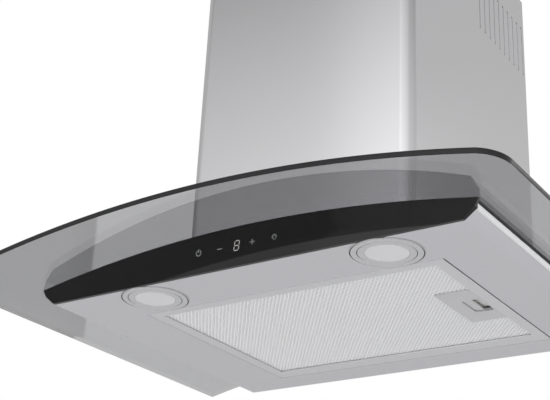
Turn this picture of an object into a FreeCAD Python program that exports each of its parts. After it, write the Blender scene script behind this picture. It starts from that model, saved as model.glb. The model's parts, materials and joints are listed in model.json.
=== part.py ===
import FreeCAD, Part
import math
import os

V = FreeCAD.Vector

# Curved glass chimney hood, millimetres. While it is modelled, z = 0 is the flat underside,
# y = 0 the wall and x = 0 the middle. save() then moves the origin to the wall bolts' centre.

# ---- driving dimensions: glass ----
GLASS_WIDTH = 600.0
GLASS_DEPTH = 457.0
GLASS_WALL_GAP = 15.0
GLASS_THICKNESS = 5.0
GLASS_CROWN_Z = 39.0
GLASS_DROP = 34.0
GLASS_CORNER_R = 22.0
NOTCH_CLEARANCE = 3.0

# ---- body under the glass ----
SHEET = 1.0
FLAT_WIDTH = 457.0
BODY_WIDTH = 480.0
SLOPE_HEIGHT = 8.8
BODY_FRONT_GAP = 3.5
BODY_WALL_GAP = 25.5
FLANGE_WIDTH = 14.0
GASKET_HEIGHT = 3.6
GASKET_WIDTH = 12.0
GASKET_OVERHANG = 0.6
SEAT_GAP = 0.1
CUT_MARGIN = 1.0

# ---- fascia and touch control ----
FASCIA_Y = -385.0
FASCIA_LEAN_DEG = 3.7
FASCIA_THICKNESS = 3.0
FASCIA_TOP_WIDTH = 487.0
FASCIA_CHAMFER_WIDTH = 479.0
FASCIA_CHAMFER_Z = 9.0
FASCIA_GLASS_GAP = 0.3
CONTROL_DROP = 18.5
CARRIER_WIDTH = 126.0
CARRIER_HEIGHT = 18.0
CARRIER_DEPTH = 9.0
CARRIER_WALL = 2.0
CARRIER_GAP = 0.3
PCB_THICKNESS = 1.6
DISPLAY_WIDTH = 14.0
DISPLAY_HEIGHT = 13.5
TOUCH_KEY_X = (-43.5, -19.5, 18.5, 43.0)
TOUCH_SPRING_R = 4.0
TOUCH_SPRING_WALL = 1.0

# ---- lamps ----
LAMP_HALF_SPACING = 131.0
LAMP_CENTRE_X = 7.0
LAMP_Y = -349.5
LAMP_BEZEL_R = 34.4
LAMP_RING_R = 26.4
LAMP_LENS_R = 20.0
LAMP_CAN_R = 28.0
LAMP_CAN_HEIGHT = 14.0
LAMP_CAN_WALL = 1.2
LAMP_FLANGE_Z = -0.6
LAMP_FLANGE_THICKNESS = 0.5
LAMP_GAP = 0.25
LAMP_GROOVE = 0.8
LAMP_RING_DEPTH = 3.0
LAMP_LENS_THICKNESS = 2.0
LAMP_BOARD_THICKNESS = 1.6
LED_SIZE = 3.0
LED_HEIGHT = 1.0
LED_COUNT = 6

# ---- grease filter ----
FILTER_WIDTH = 336.0
FILTER_DEPTH = 249.0
FILTER_X = 7.0
FILTER_FRONT_Y = -314.0
FILTER_HEIGHT = 9.0
FILTER_WALL = 1.2
FILTER_GAP = 1.2
FILTER_BORDER_SIDE = 12.5
FILTER_BORDER_FRONT = 11.0
FILTER_BORDER_REAR = 19.0
MESH_SHEET = 0.8
MESH_GAP = 0.15
MESH_HOLE = 8.0
MESH_WEB = 7.0
MESH_RIM = 1.0
TAB_WIDTH = 20.0
TAB_LENGTH = 8.0
TAB_THICKNESS = 1.2
TAB_Z = 2.2
TAB_INSET = 50.0

# ---- filter latch ----
LATCH_WIDTH = 38.0
LATCH_DEPTH = 85.0
LATCH_Y = -189.5
LATCH_SKIN = 1.2
RECESS_WIDTH = 20.0
RECESS_INSET = 2.2
RECESS_DEPTH = 35.0
RECESS_CORNER_R = 4.0
THUMB_WIDTH = 9.5
FINGER_OVERLAP = 2.0
SLIDER_THICKNESS = 1.6
SLIDER_GAP = 0.3
SLIDER_DEPTH = 43.0
TONGUE_DEPTH = 16.0
TONGUE_TIP_GAP = 0.4
LATCH_TRAVEL = 6.0
SPRING_R = 1.9
SPRING_WIRE_R = 0.25
SPRING_TURNS = 5

# ---- fan box inside the chimney ----
FAN_BOX_WIDTH = 236.0
FAN_BOX_REAR_GAP = 0.4
FAN_BOX_FRONT_Y = -268.0
FAN_BOX_TOP_Z = 250.0
FAN_BOX_FLANGE = 10.0
CLAMP_LEG = 16.0
CLAMP_FOOT = 9.0
CLAMP_THICKNESS = 1.5
CLAMP_FRONT_INSET = 20.0
CLAMP_REAR_INSET = 40.0
FRONT_CLAMP_HEIGHT = 26.0
GLASS_PAD_GAP = 0.3

# ---- blower ----
BLOWER_Y = -165.0
BLOWER_Z = 130.0
SCROLL_WIDTH = 110.0
SCROLL_WALL = 1.5
SCROLL_START_R = 84.0
SCROLL_STEP_R = 7.0
INLET_R = 62.0
IMPELLER_R = 72.0
IMPELLER_WIDTH = 90.0
BLADE_COUNT = 36
BLADE_CHORD = 12.0
BLADE_THICKNESS = 1.0
BLADE_ANGLE_DEG = 35.0
IMPELLER_DISC = 2.0
RIM_WIDTH = 2.0
BLADE_ROOT_STEP = 0.8
RIM_INSET = 1.0
HUB_R = 10.0
HUB_LENGTH = 14.0
SHAFT_R = 4.0
SHAFT_RUNNING_GAP = 0.06
SHAFT_STUB = 3.0
MOTOR_R = 38.0
MOTOR_X = 16.0
MOTOR_LENGTH = 58.0
MOTOR_FLANGE_R = 46.0
MOTOR_FLANGE_THICKNESS = 2.0
MOTOR_EDGE_R = 4.0
MOTOR_NOSE = 4.0
MOTOR_END_WALL = 6.0
BRACKET_THICKNESS = 2.0
BRACKET_BORE_GAP = 0.4
BRACKET_ARM_WIDTH = 14.0
BRACKET_BOLT_R = 78.0
BRACKET_RING = 6.0
BRACKET_ARM_END = 8.0
BRACKET_ARMS = 3
GROMMET_HEIGHT = 4.0
GROMMET_R = 6.0
SCREW_R = 2.0
SCREW_HEAD_R = 3.8
SCREW_HEAD_HEIGHT = 2.2

# ---- duct outlet with dampers ----
OUTLET_R = 74.8
OUTLET_WALL = 2.3
OUTLET_HEIGHT = 45.0
OUTLET_FLANGE_R = 84.5
OUTLET_FLANGE_THICKNESS = 2.5
DAMPER_Z = 12.0
DAMPER_THICKNESS = 1.2
DAMPER_EDGE_GAP = 2.0
DAMPER_HINGE_Y = 4.0
DAMPER_BARREL_R = 2.4
DAMPER_PIN_R = 1.5
DAMPER_PIN_GAP = 0.06
DAMPER_LEDGE = 3.5
LEDGE_THICKNESS = 2.0
BARREL_END_GAP = 1.0
PIN_END_GAP = 0.5
OUTLET_SCREWS = 4
DAMPER_BAR = 2.2

# ---- electrics in the fan box ----
TERMINAL_BOX = (44.0, 90.0, 60.0)
DRIVER_BOX = (30.0, 80.0, 40.0)
TERMINAL_Y = -210.0
DRIVER_Y = -215.0
ELECTRIC_TOP_GAP = 8.0
BOX_WALL = 2.0
DRIVER_EDGE_R = 2.0
TERMINAL_BLOCK = (16.0, 60.0, 20.0)
TERMINAL_WAYS = 5
WAY_PITCH = 11.0
WAY_WIDTH = 8.0
WAY_HEIGHT = 12.0
WAY_FLOOR = 4.0
CAPACITOR_R = 16.0
CAPACITOR_LENGTH = 60.0
CAPACITOR_CAP_R = 9.6
CAPACITOR_REAR_GAP = 2.0
GLAND_X = -88.0
GLAND_Y = -52.0
GLAND_R = 8.0
GLAND_BORE_R = 4.0
GLAND_NUT_R = 12.0
GLAND_HEIGHT = 22.0
GLAND_NUT_HEIGHT = 5.0
GLAND_THREAD = 8.0
GLAND_DOME_WALL = 2.0
GLAND_DOME_EDGE_R = 4.0

# ---- chimney ----
CHIMNEY_WIDTH = 268.0
CHIMNEY_DEPTH = 296.0
CHIMNEY_TOP_Z = 467.0
CHIMNEY_BEND_R = 13.0
CHIMNEY_RETURN = 12.0
CHIMNEY_SLIDE_GAP = 0.8
UPPER_BOTTOM_Z = 88.0
UPPER_TOP_GAP = 5.0
UPPER_REST_GAP = 0.3
SLOT_COUNT = 10
SLOT_PITCH = 13.5
SLOT_WIDTH = 5.0
SLOT_HEIGHT = 68.0
SLOT_TOP_GAP = 41.0
SLOT_FIRST_Y = -8.0
COVER_BRACKET_Z = 48.0
COVER_BRACKET_HEIGHT = 40.0
COVER_BRACKET_DEPTH = 40.0
COVER_BRACKET_Y = -150.0
COVER_SCREW_Z = 62.0
COVER_SCREW_LENGTH = 6.0
TOP_BRACKET_HEIGHT = 22.0
TOP_BRACKET_DROP = 12.0
TOP_BRACKET_THICKNESS = 2.0
TOP_BRACKET_EAR = 35.0

# ---- wall fixing ----
WALL_BOLT_Z = 185.0
WALL_BOLT_SPACING_X = 170.0
WALL_BOLT_SPACING_Z = 50.0
WALL_BOLT_HOLE_R = 4.0
RAIL_WIDTH = 210.0
RAIL_HEIGHT = 76.0
RAIL_THICKNESS = 2.0
RAIL_STANDOFF = 13.0
RAIL_LIP = 14.0
HOOK_HEIGHT = 46.0
HOOK_GAP = 0.3
HOOK_LIP_GAP = 1.6
BUFFER_R = 6.0
BUFFER_X = 175.0
BUFFER_Z = 16.6

# ---- sizes that follow from the ones above ----
HALF_GLASS = GLASS_WIDTH / 2
ARCH_R = (HALF_GLASS ** 2 + GLASS_DROP ** 2) / (2 * GLASS_DROP)
ARCH_CENTRE_Z = GLASS_CROWN_Z - ARCH_R
GLASS_REAR_Y = -GLASS_WALL_GAP
GLASS_FRONT_Y = GLASS_REAR_Y - GLASS_DEPTH
BODY_FRONT_Y = FASCIA_Y + BODY_FRONT_GAP
BODY_REAR_Y = -BODY_WALL_GAP
CONTROL_Z = GLASS_CROWN_Z - CONTROL_DROP
FLANGE_ARCH_R = ARCH_R - GASKET_HEIGHT
FILTER_LEFT_X = FILTER_X - FILTER_WIDTH / 2
FILTER_RIGHT_X = FILTER_X + FILTER_WIDTH / 2
FILTER_REAR_Y = FILTER_FRONT_Y + FILTER_DEPTH
FAN_BOX_REAR_Y = BODY_REAR_Y - SHEET - FAN_BOX_REAR_GAP
HALF_FAN_BOX = FAN_BOX_WIDTH / 2
FAN_BOX_BASE_R = FLANGE_ARCH_R - SHEET
TOP_PANEL_R = FLANGE_ARCH_R - SHEET - SEAT_GAP
HALF_SCROLL = SCROLL_WIDTH / 2
SCROLL_REAR_Y = BLOWER_Y + SCROLL_START_R + 3 * SCROLL_STEP_R
OUTLET_Y = (BLOWER_Y + SCROLL_REAR_Y) / 2
UPPER_HALF_WIDTH = CHIMNEY_WIDTH / 2 - SHEET - CHIMNEY_SLIDE_GAP
UPPER_TOP_Z = CHIMNEY_TOP_Z - UPPER_TOP_GAP


# ---------------------------------------------------------------- shape helpers
def box(x0, x1, y0, y1, z0, z1):
    return Part.makeBox(x1 - x0, y1 - y0, z1 - z0, V(x0, y0, z0))


def cylinder(radius, height, base, axis=V(0, 0, 1)):
    return Part.makeCylinder(radius, height, base, axis)


def tube(outer_r, inner_r, height, base, axis=V(0, 0, 1)):
    return cylinder(outer_r, height, base, axis).cut(cylinder(inner_r, height, base, axis))


def polygon(points):
    return Part.Face(Part.makePolygon(points + [points[0]]))


def along_y(profile_xz, y0, y1):
    face = polygon([V(x, y0, z) for x, z in profile_xz])
    return face.extrude(V(0, y1 - y0, 0))


def along_x(profile_yz, x0, x1):
    face = polygon([V(x0, y, z) for y, z in profile_yz])
    return face.extrude(V(x1 - x0, 0, 0))


def rounded_box(x0, x1, y0, y1, z0, z1, radius):
    block = box(x0, x1, y0, y1, z0, z1)
    upright = [e for e in block.Edges if abs(e.Vertexes[0].Z - e.Vertexes[-1].Z) > (z1 - z0) / 2]
    return block.makeFillet(radius, upright)


def join(shapes):
    fused = shapes[0].multiFuse(shapes[1:]) if len(shapes) > 1 else shapes[0]
    return fused.removeSplitter()


def cut_all(shape, tools):
    return shape.cut(Part.makeCompound(tools)) if tools else shape


def group(shapes):
    return Part.makeCompound(shapes)


def save(shape, node):
    placed = shape.copy()
    placed.translate(V(0, 0, -WALL_BOLT_Z))
    placed.exportStep("parts/" + node + ".step")


# ---------------------------------------------------------------- arch of the glass
def arch_z(radius, x):
    """Height of the circle of this radius about the arch's centre line."""
    return ARCH_CENTRE_Z + math.sqrt(radius ** 2 - x ** 2)


def arch_wire_points(radius, half_width, y):
    return [V(x, y, arch_z(radius, x)) for x in (-half_width, 0.0, half_width)]


def under_arch(radius, half_width, y0, y1, z_low):
    """Everything from z_low up to the arch of this radius."""
    left, crown, right = arch_wire_points(radius, half_width, y0)
    low_left = V(-half_width, y0, z_low)
    low_right = V(half_width, y0, z_low)
    edges = [
        Part.LineSegment(low_left, low_right).toShape(),
        Part.LineSegment(low_right, right).toShape(),
        Part.Arc(right, crown, left).toShape(),
        Part.LineSegment(left, low_left).toShape(),
    ]
    return Part.Face(Part.Wire(edges)).extrude(V(0, y1 - y0, 0))


def arch_band(low_r, high_r, half_width, y0, y1):
    """Sheet bent to the arch, between two radii."""
    low_left, low_crown, low_right = arch_wire_points(low_r, half_width, y0)
    left, crown, right = arch_wire_points(high_r, half_width, y0)
    edges = [
        Part.Arc(low_left, low_crown, low_right).toShape(),
        Part.LineSegment(low_right, right).toShape(),
        Part.Arc(right, crown, left).toShape(),
        Part.LineSegment(left, low_left).toShape(),
    ]
    return Part.Face(Part.Wire(edges)).extrude(V(0, y1 - y0, 0))


# ---------------------------------------------------------------- body under the glass
def body_profile(inset):
    """Body's section: flat floor, short slopes, upright sides and the arch above."""
    half_flat = FLAT_WIDTH / 2
    half_body = BODY_WIDTH / 2 - inset
    slope = math.atan2(SLOPE_HEIGHT, BODY_WIDTH / 2 - half_flat)
    flat_x = half_flat - inset * math.tan(slope / 2)
    slope_z = SLOPE_HEIGHT + inset * math.tan((math.pi / 2 - slope) / 2)
    left, crown, right = arch_wire_points(FLANGE_ARCH_R - inset, half_body, 0.0)
    outline = [left, V(-half_body, 0, slope_z), V(-flat_x, 0, inset), V(flat_x, 0, inset),
               V(half_body, 0, slope_z), right]
    edges = [Part.LineSegment(a, b).toShape() for a, b in zip(outline, outline[1:])]
    edges.append(Part.Arc(right, crown, left).toShape())
    return Part.Face(Part.Wire(edges))


def body_block(inset):
    face = body_profile(inset)
    face.translate(V(0, BODY_FRONT_Y + inset, 0))
    return face.extrude(V(0, BODY_REAR_Y - BODY_FRONT_Y - 2 * inset, 0))


def filter_opening(z0, z1):
    return box(FILTER_LEFT_X - FILTER_GAP, FILTER_RIGHT_X + FILTER_GAP,
               FILTER_FRONT_Y - FILTER_GAP, FILTER_REAR_Y + FILTER_GAP, z0, z1)


def carrier_window(clearance, y0, y1):
    half = CARRIER_WIDTH / 2 + clearance
    return box(-half, half, y0, y1, CONTROL_Z - CARRIER_HEIGHT / 2 - clearance,
               CONTROL_Z + CARRIER_HEIGHT / 2 + clearance)


def hood_tray():
    tray = body_block(0.0).cut(body_block(SHEET))
    half_open = BODY_WIDTH / 2 - FLANGE_WIDTH
    top = box(-half_open, half_open, BODY_FRONT_Y + FLANGE_WIDTH, BODY_REAR_Y - FLANGE_WIDTH,
              SLOPE_HEIGHT, 2 * GLASS_CROWN_Z)
    rear_x = HALF_FAN_BOX + FAN_BOX_FLANGE + NOTCH_CLEARANCE
    rear = box(-rear_x, rear_x, BODY_REAR_Y - 2 * FLANGE_WIDTH, BODY_REAR_Y - SHEET,
               SLOPE_HEIGHT, 2 * GLASS_CROWN_Z)
    lamp_holes = [cylinder(LAMP_CAN_R + LAMP_GAP, 3 * SHEET, V(x, LAMP_Y, -SHEET))
                  for x in lamp_places().values()]
    window = carrier_window(CARRIER_GAP, BODY_FRONT_Y - SHEET, BODY_FRONT_Y + 2 * SHEET)
    return cut_all(tray, [top, rear, filter_opening(-SHEET, 2 * SHEET), window] + lamp_holes)


def body_top_panel():
    half = BODY_WIDTH / 2 - SHEET - SEAT_GAP
    y0 = BODY_FRONT_Y + SHEET + SEAT_GAP
    y1 = BODY_REAR_Y - SHEET - SEAT_GAP
    panel = arch_band(TOP_PANEL_R - SHEET, TOP_PANEL_R, half, y0, y1)
    inside = HALF_FAN_BOX - SHEET
    opening = box(-inside, inside, FAN_BOX_FRONT_Y + SHEET, FAN_BOX_REAR_Y - SHEET,
                  0, 2 * GLASS_CROWN_Z)
    return panel.cut(opening)


def fan_box_footprint(clearance, y1, z0, z1):
    half = HALF_FAN_BOX + clearance
    return box(-half, half, FAN_BOX_FRONT_Y - clearance, y1, z0, z1)


def glass_canopy():
    """Bowed sheet with two round front corners and a notch for the fan box."""
    bowed = arch_band(ARCH_R, ARCH_R + GLASS_THICKNESS, HALF_GLASS + GLASS_CORNER_R,
                      GLASS_FRONT_Y - GLASS_CORNER_R, 0)
    rim = box(-HALF_GLASS, HALF_GLASS, GLASS_FRONT_Y, GLASS_REAR_Y, -GLASS_DROP, 2 * GLASS_CROWN_Z)
    corners = [e for e in rim.Edges if abs(e.Vertexes[0].Z - e.Vertexes[-1].Z) > GLASS_CROWN_Z
               and abs(e.Vertexes[0].Y - GLASS_FRONT_Y) < SEAT_GAP]
    rim = rim.makeFillet(GLASS_CORNER_R, corners)
    notch = fan_box_footprint(NOTCH_CLEARANCE, 0, 0, 2 * GLASS_CROWN_Z)
    return bowed.common(rim.cut(notch))


def glass_gasket():
    """Foam strip between the body's flange and the glass, open behind the fan box."""
    half = BODY_WIDTH / 2 + GASKET_OVERHANG
    y0 = BODY_FRONT_Y
    y1 = BODY_REAR_Y
    strip = arch_band(FLANGE_ARCH_R + SEAT_GAP, ARCH_R - SEAT_GAP, half, y0, y1)
    width = GASKET_WIDTH + GASKET_OVERHANG
    inner = box(-half + width, half - width, y0 + GASKET_WIDTH, y1 - GASKET_WIDTH,
                0, 2 * GLASS_CROWN_Z)
    rear = fan_box_footprint(FAN_BOX_FLANGE + NOTCH_CLEARANCE, 0, 0, 2 * GLASS_CROWN_Z)
    return strip.cut(inner).cut(rear)


# ---------------------------------------------------------------- fascia and touch control
def fascia_y(z):
    """Front face of the leaning fascia at this height."""
    return FASCIA_Y - z * math.tan(math.radians(FASCIA_LEAN_DEG))


def fascia_panel():
    top_z = 1.5 * GLASS_CROWN_Z
    section = [(fascia_y(0), 0), (fascia_y(top_z), top_z),
               (fascia_y(top_z) + FASCIA_THICKNESS, top_z), (fascia_y(0) + FASCIA_THICKNESS, 0)]
    half_top = FASCIA_TOP_WIDTH / 2
    leaning = along_x(section, -half_top, half_top)
    half_flat = FLAT_WIDTH / 2
    half_chamfer = FASCIA_CHAMFER_WIDTH / 2
    corner_z = arch_z(ARCH_R - FASCIA_GLASS_GAP, half_top)
    outline = [(-half_top, top_z), (-half_top, corner_z), (-half_chamfer, FASCIA_CHAMFER_Z),
               (-half_flat, 0), (half_flat, 0), (half_chamfer, FASCIA_CHAMFER_Z),
               (half_top, corner_z), (half_top, top_z)]
    shield = along_y(outline, 2 * FASCIA_Y, 0)
    ceiling = under_arch(ARCH_R - FASCIA_GLASS_GAP, HALF_GLASS, 2 * FASCIA_Y, 0, -CUT_MARGIN)
    return leaning.common(shield).common(ceiling)


def carrier_front_y(z):
    return fascia_y(z) + FASCIA_THICKNESS + SEAT_GAP


def carrier_block(inset, y_back):
    z0 = CONTROL_Z - CARRIER_HEIGHT / 2 + inset
    z1 = CONTROL_Z + CARRIER_HEIGHT / 2 - inset
    half = CARRIER_WIDTH / 2 - inset
    section = [(carrier_front_y(z0), z0), (y_back, z0), (y_back, z1), (carrier_front_y(z1), z1)]
    return along_x(section, -half, half)


def carrier_back_y():
    return carrier_front_y(CONTROL_Z) + CARRIER_DEPTH


def touch_carrier():
    """Moulded frame on the fascia's back. It reaches through the body's window."""
    back = carrier_back_y()
    frame = carrier_block(0.0, back).cut(carrier_block(CARRIER_WALL, back + CARRIER_WALL))
    return frame


def pcb_back_y():
    return carrier_back_y() - SEAT_GAP


def touch_board():
    z0 = CONTROL_Z - CARRIER_HEIGHT / 2 + CARRIER_WALL + SEAT_GAP
    z1 = CONTROL_Z + CARRIER_HEIGHT / 2 - CARRIER_WALL - SEAT_GAP
    half = CARRIER_WIDTH / 2 - CARRIER_WALL - SEAT_GAP
    return box(-half, half, pcb_back_y() - PCB_THICKNESS, pcb_back_y(), z0, z1)


def display_module():
    z0 = CONTROL_Z - DISPLAY_HEIGHT / 2
    z1 = CONTROL_Z + DISPLAY_HEIGHT / 2
    back = pcb_back_y() - PCB_THICKNESS
    section = [(carrier_front_y(z0), z0), (back, z0), (back, z1), (carrier_front_y(z1), z1)]
    return along_x(section, -DISPLAY_WIDTH / 2, DISPLAY_WIDTH / 2)


def touch_springs():
    """Touch pads' contact springs, from the board to the fascia's back."""
    front = carrier_front_y(CONTROL_Z - TOUCH_SPRING_R)
    back = pcb_back_y() - PCB_THICKNESS
    return group([tube(TOUCH_SPRING_R, TOUCH_SPRING_R - TOUCH_SPRING_WALL, back - front,
                       V(x, front, CONTROL_Z), V(0, 1, 0)) for x in TOUCH_KEY_X])


# ---------------------------------------------------------------- lamps
def lamp_places():
    return {"left": LAMP_CENTRE_X - LAMP_HALF_SPACING, "right": LAMP_CENTRE_X + LAMP_HALF_SPACING}


def lamp_can(x):
    flange = cylinder(LAMP_BEZEL_R, LAMP_FLANGE_THICKNESS, V(x, LAMP_Y, LAMP_FLANGE_Z))
    wall = cylinder(LAMP_CAN_R, LAMP_CAN_HEIGHT - LAMP_FLANGE_Z, V(x, LAMP_Y, LAMP_FLANGE_Z))
    top = LAMP_CAN_HEIGHT - LAMP_CAN_WALL
    hollow = cylinder(LAMP_RING_R + LAMP_GROOVE, top - LAMP_FLANGE_Z, V(x, LAMP_Y, LAMP_FLANGE_Z))
    return flange.fuse(wall).removeSplitter().cut(hollow)


def lamp_ring(x):
    return tube(LAMP_RING_R, LAMP_LENS_R + LAMP_GAP, LAMP_RING_DEPTH, V(x, LAMP_Y, LAMP_FLANGE_Z))


def lamp_lens(x):
    """Diffuser: a disc that fits the ring, with a wider foot that rests on the ring's back."""
    base = V(x, LAMP_Y, LAMP_FLANGE_Z)
    disc = cylinder(LAMP_LENS_R, LAMP_RING_DEPTH + SEAT_GAP, base)
    foot_r = (LAMP_LENS_R + LAMP_RING_R) / 2
    foot = cylinder(foot_r, LAMP_LENS_THICKNESS, base + V(0, 0, LAMP_RING_DEPTH + SEAT_GAP))
    return disc.fuse(foot).removeSplitter()


def lamp_board(x):
    top = LAMP_CAN_HEIGHT - LAMP_CAN_WALL - SEAT_GAP
    z0 = top - LAMP_BOARD_THICKNESS
    board = cylinder(LAMP_RING_R - LAMP_GAP, LAMP_BOARD_THICKNESS, V(x, LAMP_Y, z0))
    chips = []
    for i in range(LED_COUNT):
        turn = 2 * math.pi * i / LED_COUNT
        cx = x + LAMP_LENS_R / 2 * math.cos(turn)
        cy = LAMP_Y + LAMP_LENS_R / 2 * math.sin(turn)
        half = LED_SIZE / 2
        chips.append(box(cx - half, cx + half, cy - half, cy + half, z0 - LED_HEIGHT, z0))
    return join([board] + chips)


# ---------------------------------------------------------------- grease filter
def filter_inner(z0, z1):
    """Window inside the frame's border."""
    return box(FILTER_LEFT_X + FILTER_BORDER_SIDE, FILTER_RIGHT_X - FILTER_BORDER_SIDE,
               FILTER_FRONT_Y + FILTER_BORDER_FRONT, FILTER_REAR_Y - FILTER_BORDER_REAR, z0, z1)


def latch_box():
    """The latch plate's place: left, right, front and rear."""
    right = FILTER_RIGHT_X - FILTER_BORDER_SIDE
    return right - LATCH_WIDTH, right, LATCH_Y - LATCH_DEPTH / 2, LATCH_Y + LATCH_DEPTH / 2


def tongue_slot(z0, z1):
    right = latch_box()[1]
    half = TONGUE_DEPTH / 2 + SLIDER_GAP
    return box(right - CUT_MARGIN, FILTER_RIGHT_X + CUT_MARGIN, LATCH_Y - half, LATCH_Y + half, z0, z1)


def slider_z():
    return LATCH_SKIN + SLIDER_GAP


def filter_frame():
    outer = box(FILTER_LEFT_X, FILTER_RIGHT_X, FILTER_FRONT_Y, FILTER_REAR_Y, 0, FILTER_HEIGHT)
    w = FILTER_WALL
    cavity = box(FILTER_LEFT_X + w, FILTER_RIGHT_X - w, FILTER_FRONT_Y + w, FILTER_REAR_Y - w,
                 w, FILTER_HEIGHT - w)
    frame = outer.cut(cavity).cut(filter_inner(-CUT_MARGIN, FILTER_HEIGHT + CUT_MARGIN))
    z = slider_z()
    frame = frame.cut(tongue_slot(z - SLIDER_GAP, z + SLIDER_THICKNESS + SLIDER_GAP))
    tabs = []
    for y in (FILTER_FRONT_Y + TAB_INSET, FILTER_REAR_Y - TAB_INSET):
        tabs.append(box(FILTER_LEFT_X - TAB_LENGTH, FILTER_LEFT_X + w, y - TAB_WIDTH / 2,
                        y + TAB_WIDTH / 2, TAB_Z, TAB_Z + TAB_THICKNESS))
    return join([frame] + tabs)


def mesh_edges(gap):
    """Mesh sheets fill the frame's channel, less a gap, and stop round the latch."""
    w = FILTER_WALL + gap
    return (FILTER_LEFT_X + w, FILTER_RIGHT_X - w, FILTER_FRONT_Y + w, FILTER_REAR_Y - w)


def latch_cutout(z0, z1):
    left, right, front, rear = latch_box()
    return box(left - MESH_GAP, FILTER_RIGHT_X, front - MESH_GAP, rear + MESH_GAP, z0, z1)


def lozenge(x, y, z):
    half = MESH_HOLE / 2
    return Part.makePolygon([V(x - half, y, z), V(x, y - half, z), V(x + half, y, z),
                             V(x, y + half, z), V(x - half, y, z)])


def mesh_sheet(z0):
    """One face with staggered lozenge holes, as deep as one sheet."""
    x0, x1, y0, y1 = mesh_edges(MESH_GAP)
    left, right, front, rear = latch_box()
    notch_x = left - MESH_GAP
    notch_y0 = front - MESH_GAP
    notch_y1 = rear + MESH_GAP
    corners = [(x0, y0), (x1, y0), (x1, notch_y0), (notch_x, notch_y0), (notch_x, notch_y1),
               (x1, notch_y1), (x1, y1), (x0, y1), (x0, y0)]
    outline = Part.makePolygon([V(x, y, z0) for x, y in corners])
    window = filter_inner(0, 1).BoundBox
    pitch = MESH_HOLE + MESH_WEB
    half = MESH_HOLE / 2
    columns = int((window.XLength - MESH_WEB) // pitch)
    rows = int((window.YLength - MESH_WEB) // (pitch / 2)) - 1
    holes = []
    for row in range(rows):
        y = window.YMin + MESH_WEB + half + row * pitch / 2
        for column in range(columns):
            x = window.XMin + MESH_WEB + half + (column + row % 2 / 2) * pitch
            reach = half + MESH_RIM
            by_latch = x + reach > notch_x and notch_y0 - reach < y < notch_y1 + reach
            if not by_latch and x + reach < window.XMax:
                holes.append(lozenge(x, y, z0))
    face = Part.makeFace([outline] + holes, "Part::FaceMakerBullseye")
    return face.extrude(V(0, 0, MESH_SHEET))


def mesh_core(z0, z1):
    x0, x1, y0, y1 = mesh_edges(MESH_GAP)
    return box(x0, x1, y0, y1, z0, z1).cut(latch_cutout(z0 - CUT_MARGIN, z1 + CUT_MARGIN))


# ---------------------------------------------------------------- latch in the filter
def recess_edges():
    """Thumb recess: left, right, front and rear."""
    right = latch_box()[1] - RECESS_INSET
    return right - RECESS_WIDTH, right, LATCH_Y - RECESS_DEPTH / 2, LATCH_Y + RECESS_DEPTH / 2


def latch_plate():
    """Box round the slider, open towards the frame's channel."""
    left, right, front, rear = latch_box()
    g = MESH_GAP
    top = FILTER_HEIGHT - FILTER_WALL - g
    shell = box(left + g, right - g, front + g, rear - g, g, top)
    s = LATCH_SKIN
    hollow = box(left + s, right + s, LATCH_Y - SLIDER_DEPTH / 2 - SLIDER_GAP,
                 LATCH_Y + SLIDER_DEPTH / 2 + SLIDER_GAP, s, top - s)
    rx0, rx1, ry0, ry1 = recess_edges()
    recess = rounded_box(rx0, rx1, ry0, ry1, -s, 2 * s, RECESS_CORNER_R)
    return shell.cut(hollow).cut(recess)


def latch_slider():
    """Flat slide with a finger hole. Its tongue reaches through the frame's right side."""
    rx0, rx1, ry0, ry1 = recess_edges()
    z = slider_z()
    z1 = z + SLIDER_THICKNESS
    x0 = latch_box()[0] + LATCH_SKIN + SLIDER_GAP + LATCH_TRAVEL
    x1 = FILTER_RIGHT_X - FILTER_WALL - SLIDER_GAP
    plate = box(x0, x1, LATCH_Y - SLIDER_DEPTH / 2, LATCH_Y + SLIDER_DEPTH / 2, z, z1)
    half = TONGUE_DEPTH / 2
    tongue = box(x1 - CUT_MARGIN, FILTER_RIGHT_X + FILTER_GAP - TONGUE_TIP_GAP, LATCH_Y - half,
                 LATCH_Y + half, z, z1)
    finger = rounded_box(rx0 + THUMB_WIDTH, rx1 + FINGER_OVERLAP, ry0, ry1, z - CUT_MARGIN,
                         z1 + CUT_MARGIN, RECESS_CORNER_R)
    return join([plate, tongue]).cut(finger)


def latch_spring():
    """Light coil that pushes the slider towards the tongue's end."""
    left = latch_box()[0]
    x0 = left + LATCH_SKIN + SEAT_GAP + SPRING_WIRE_R
    x1 = left + LATCH_SKIN + SLIDER_GAP + LATCH_TRAVEL - SEAT_GAP - SPRING_WIRE_R
    pitch = (x1 - x0) / SPRING_TURNS
    helix = Part.makeHelix(pitch, x1 - x0, SPRING_R)
    ring = Part.Wire(Part.makeCircle(SPRING_WIRE_R, V(SPRING_R, 0, 0), V(0, 1, 0)))
    coil = Part.Wire(helix).makePipeShell([ring], True, True)
    coil.rotate(V(0, 0, 0), V(0, 1, 0), 90)
    coil.translate(V(x0, LATCH_Y, LATCH_SKIN + SEAT_GAP + SPRING_WIRE_R + SPRING_R))
    return coil


# ---------------------------------------------------------------- fan box and glass clamps
def fan_box():
    half = HALF_FAN_BOX
    above = under_arch(FAN_BOX_BASE_R, HALF_GLASS, FASCIA_Y, 0, -CUT_MARGIN)
    walls = box(-half, half, FAN_BOX_FRONT_Y, FAN_BOX_REAR_Y, 0, FAN_BOX_TOP_Z)
    hollow = box(-half + SHEET, half - SHEET, FAN_BOX_FRONT_Y + SHEET, FAN_BOX_REAR_Y - SHEET,
                 -CUT_MARGIN, FAN_BOX_TOP_Z + CUT_MARGIN)
    walls = walls.cut(hollow).cut(above)
    foot = arch_band(FAN_BOX_BASE_R, FAN_BOX_BASE_R + SHEET, half + FAN_BOX_FLANGE,
                     FAN_BOX_FRONT_Y - FAN_BOX_FLANGE, FAN_BOX_REAR_Y)
    return join([walls, foot.cut(hollow)])


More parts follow.
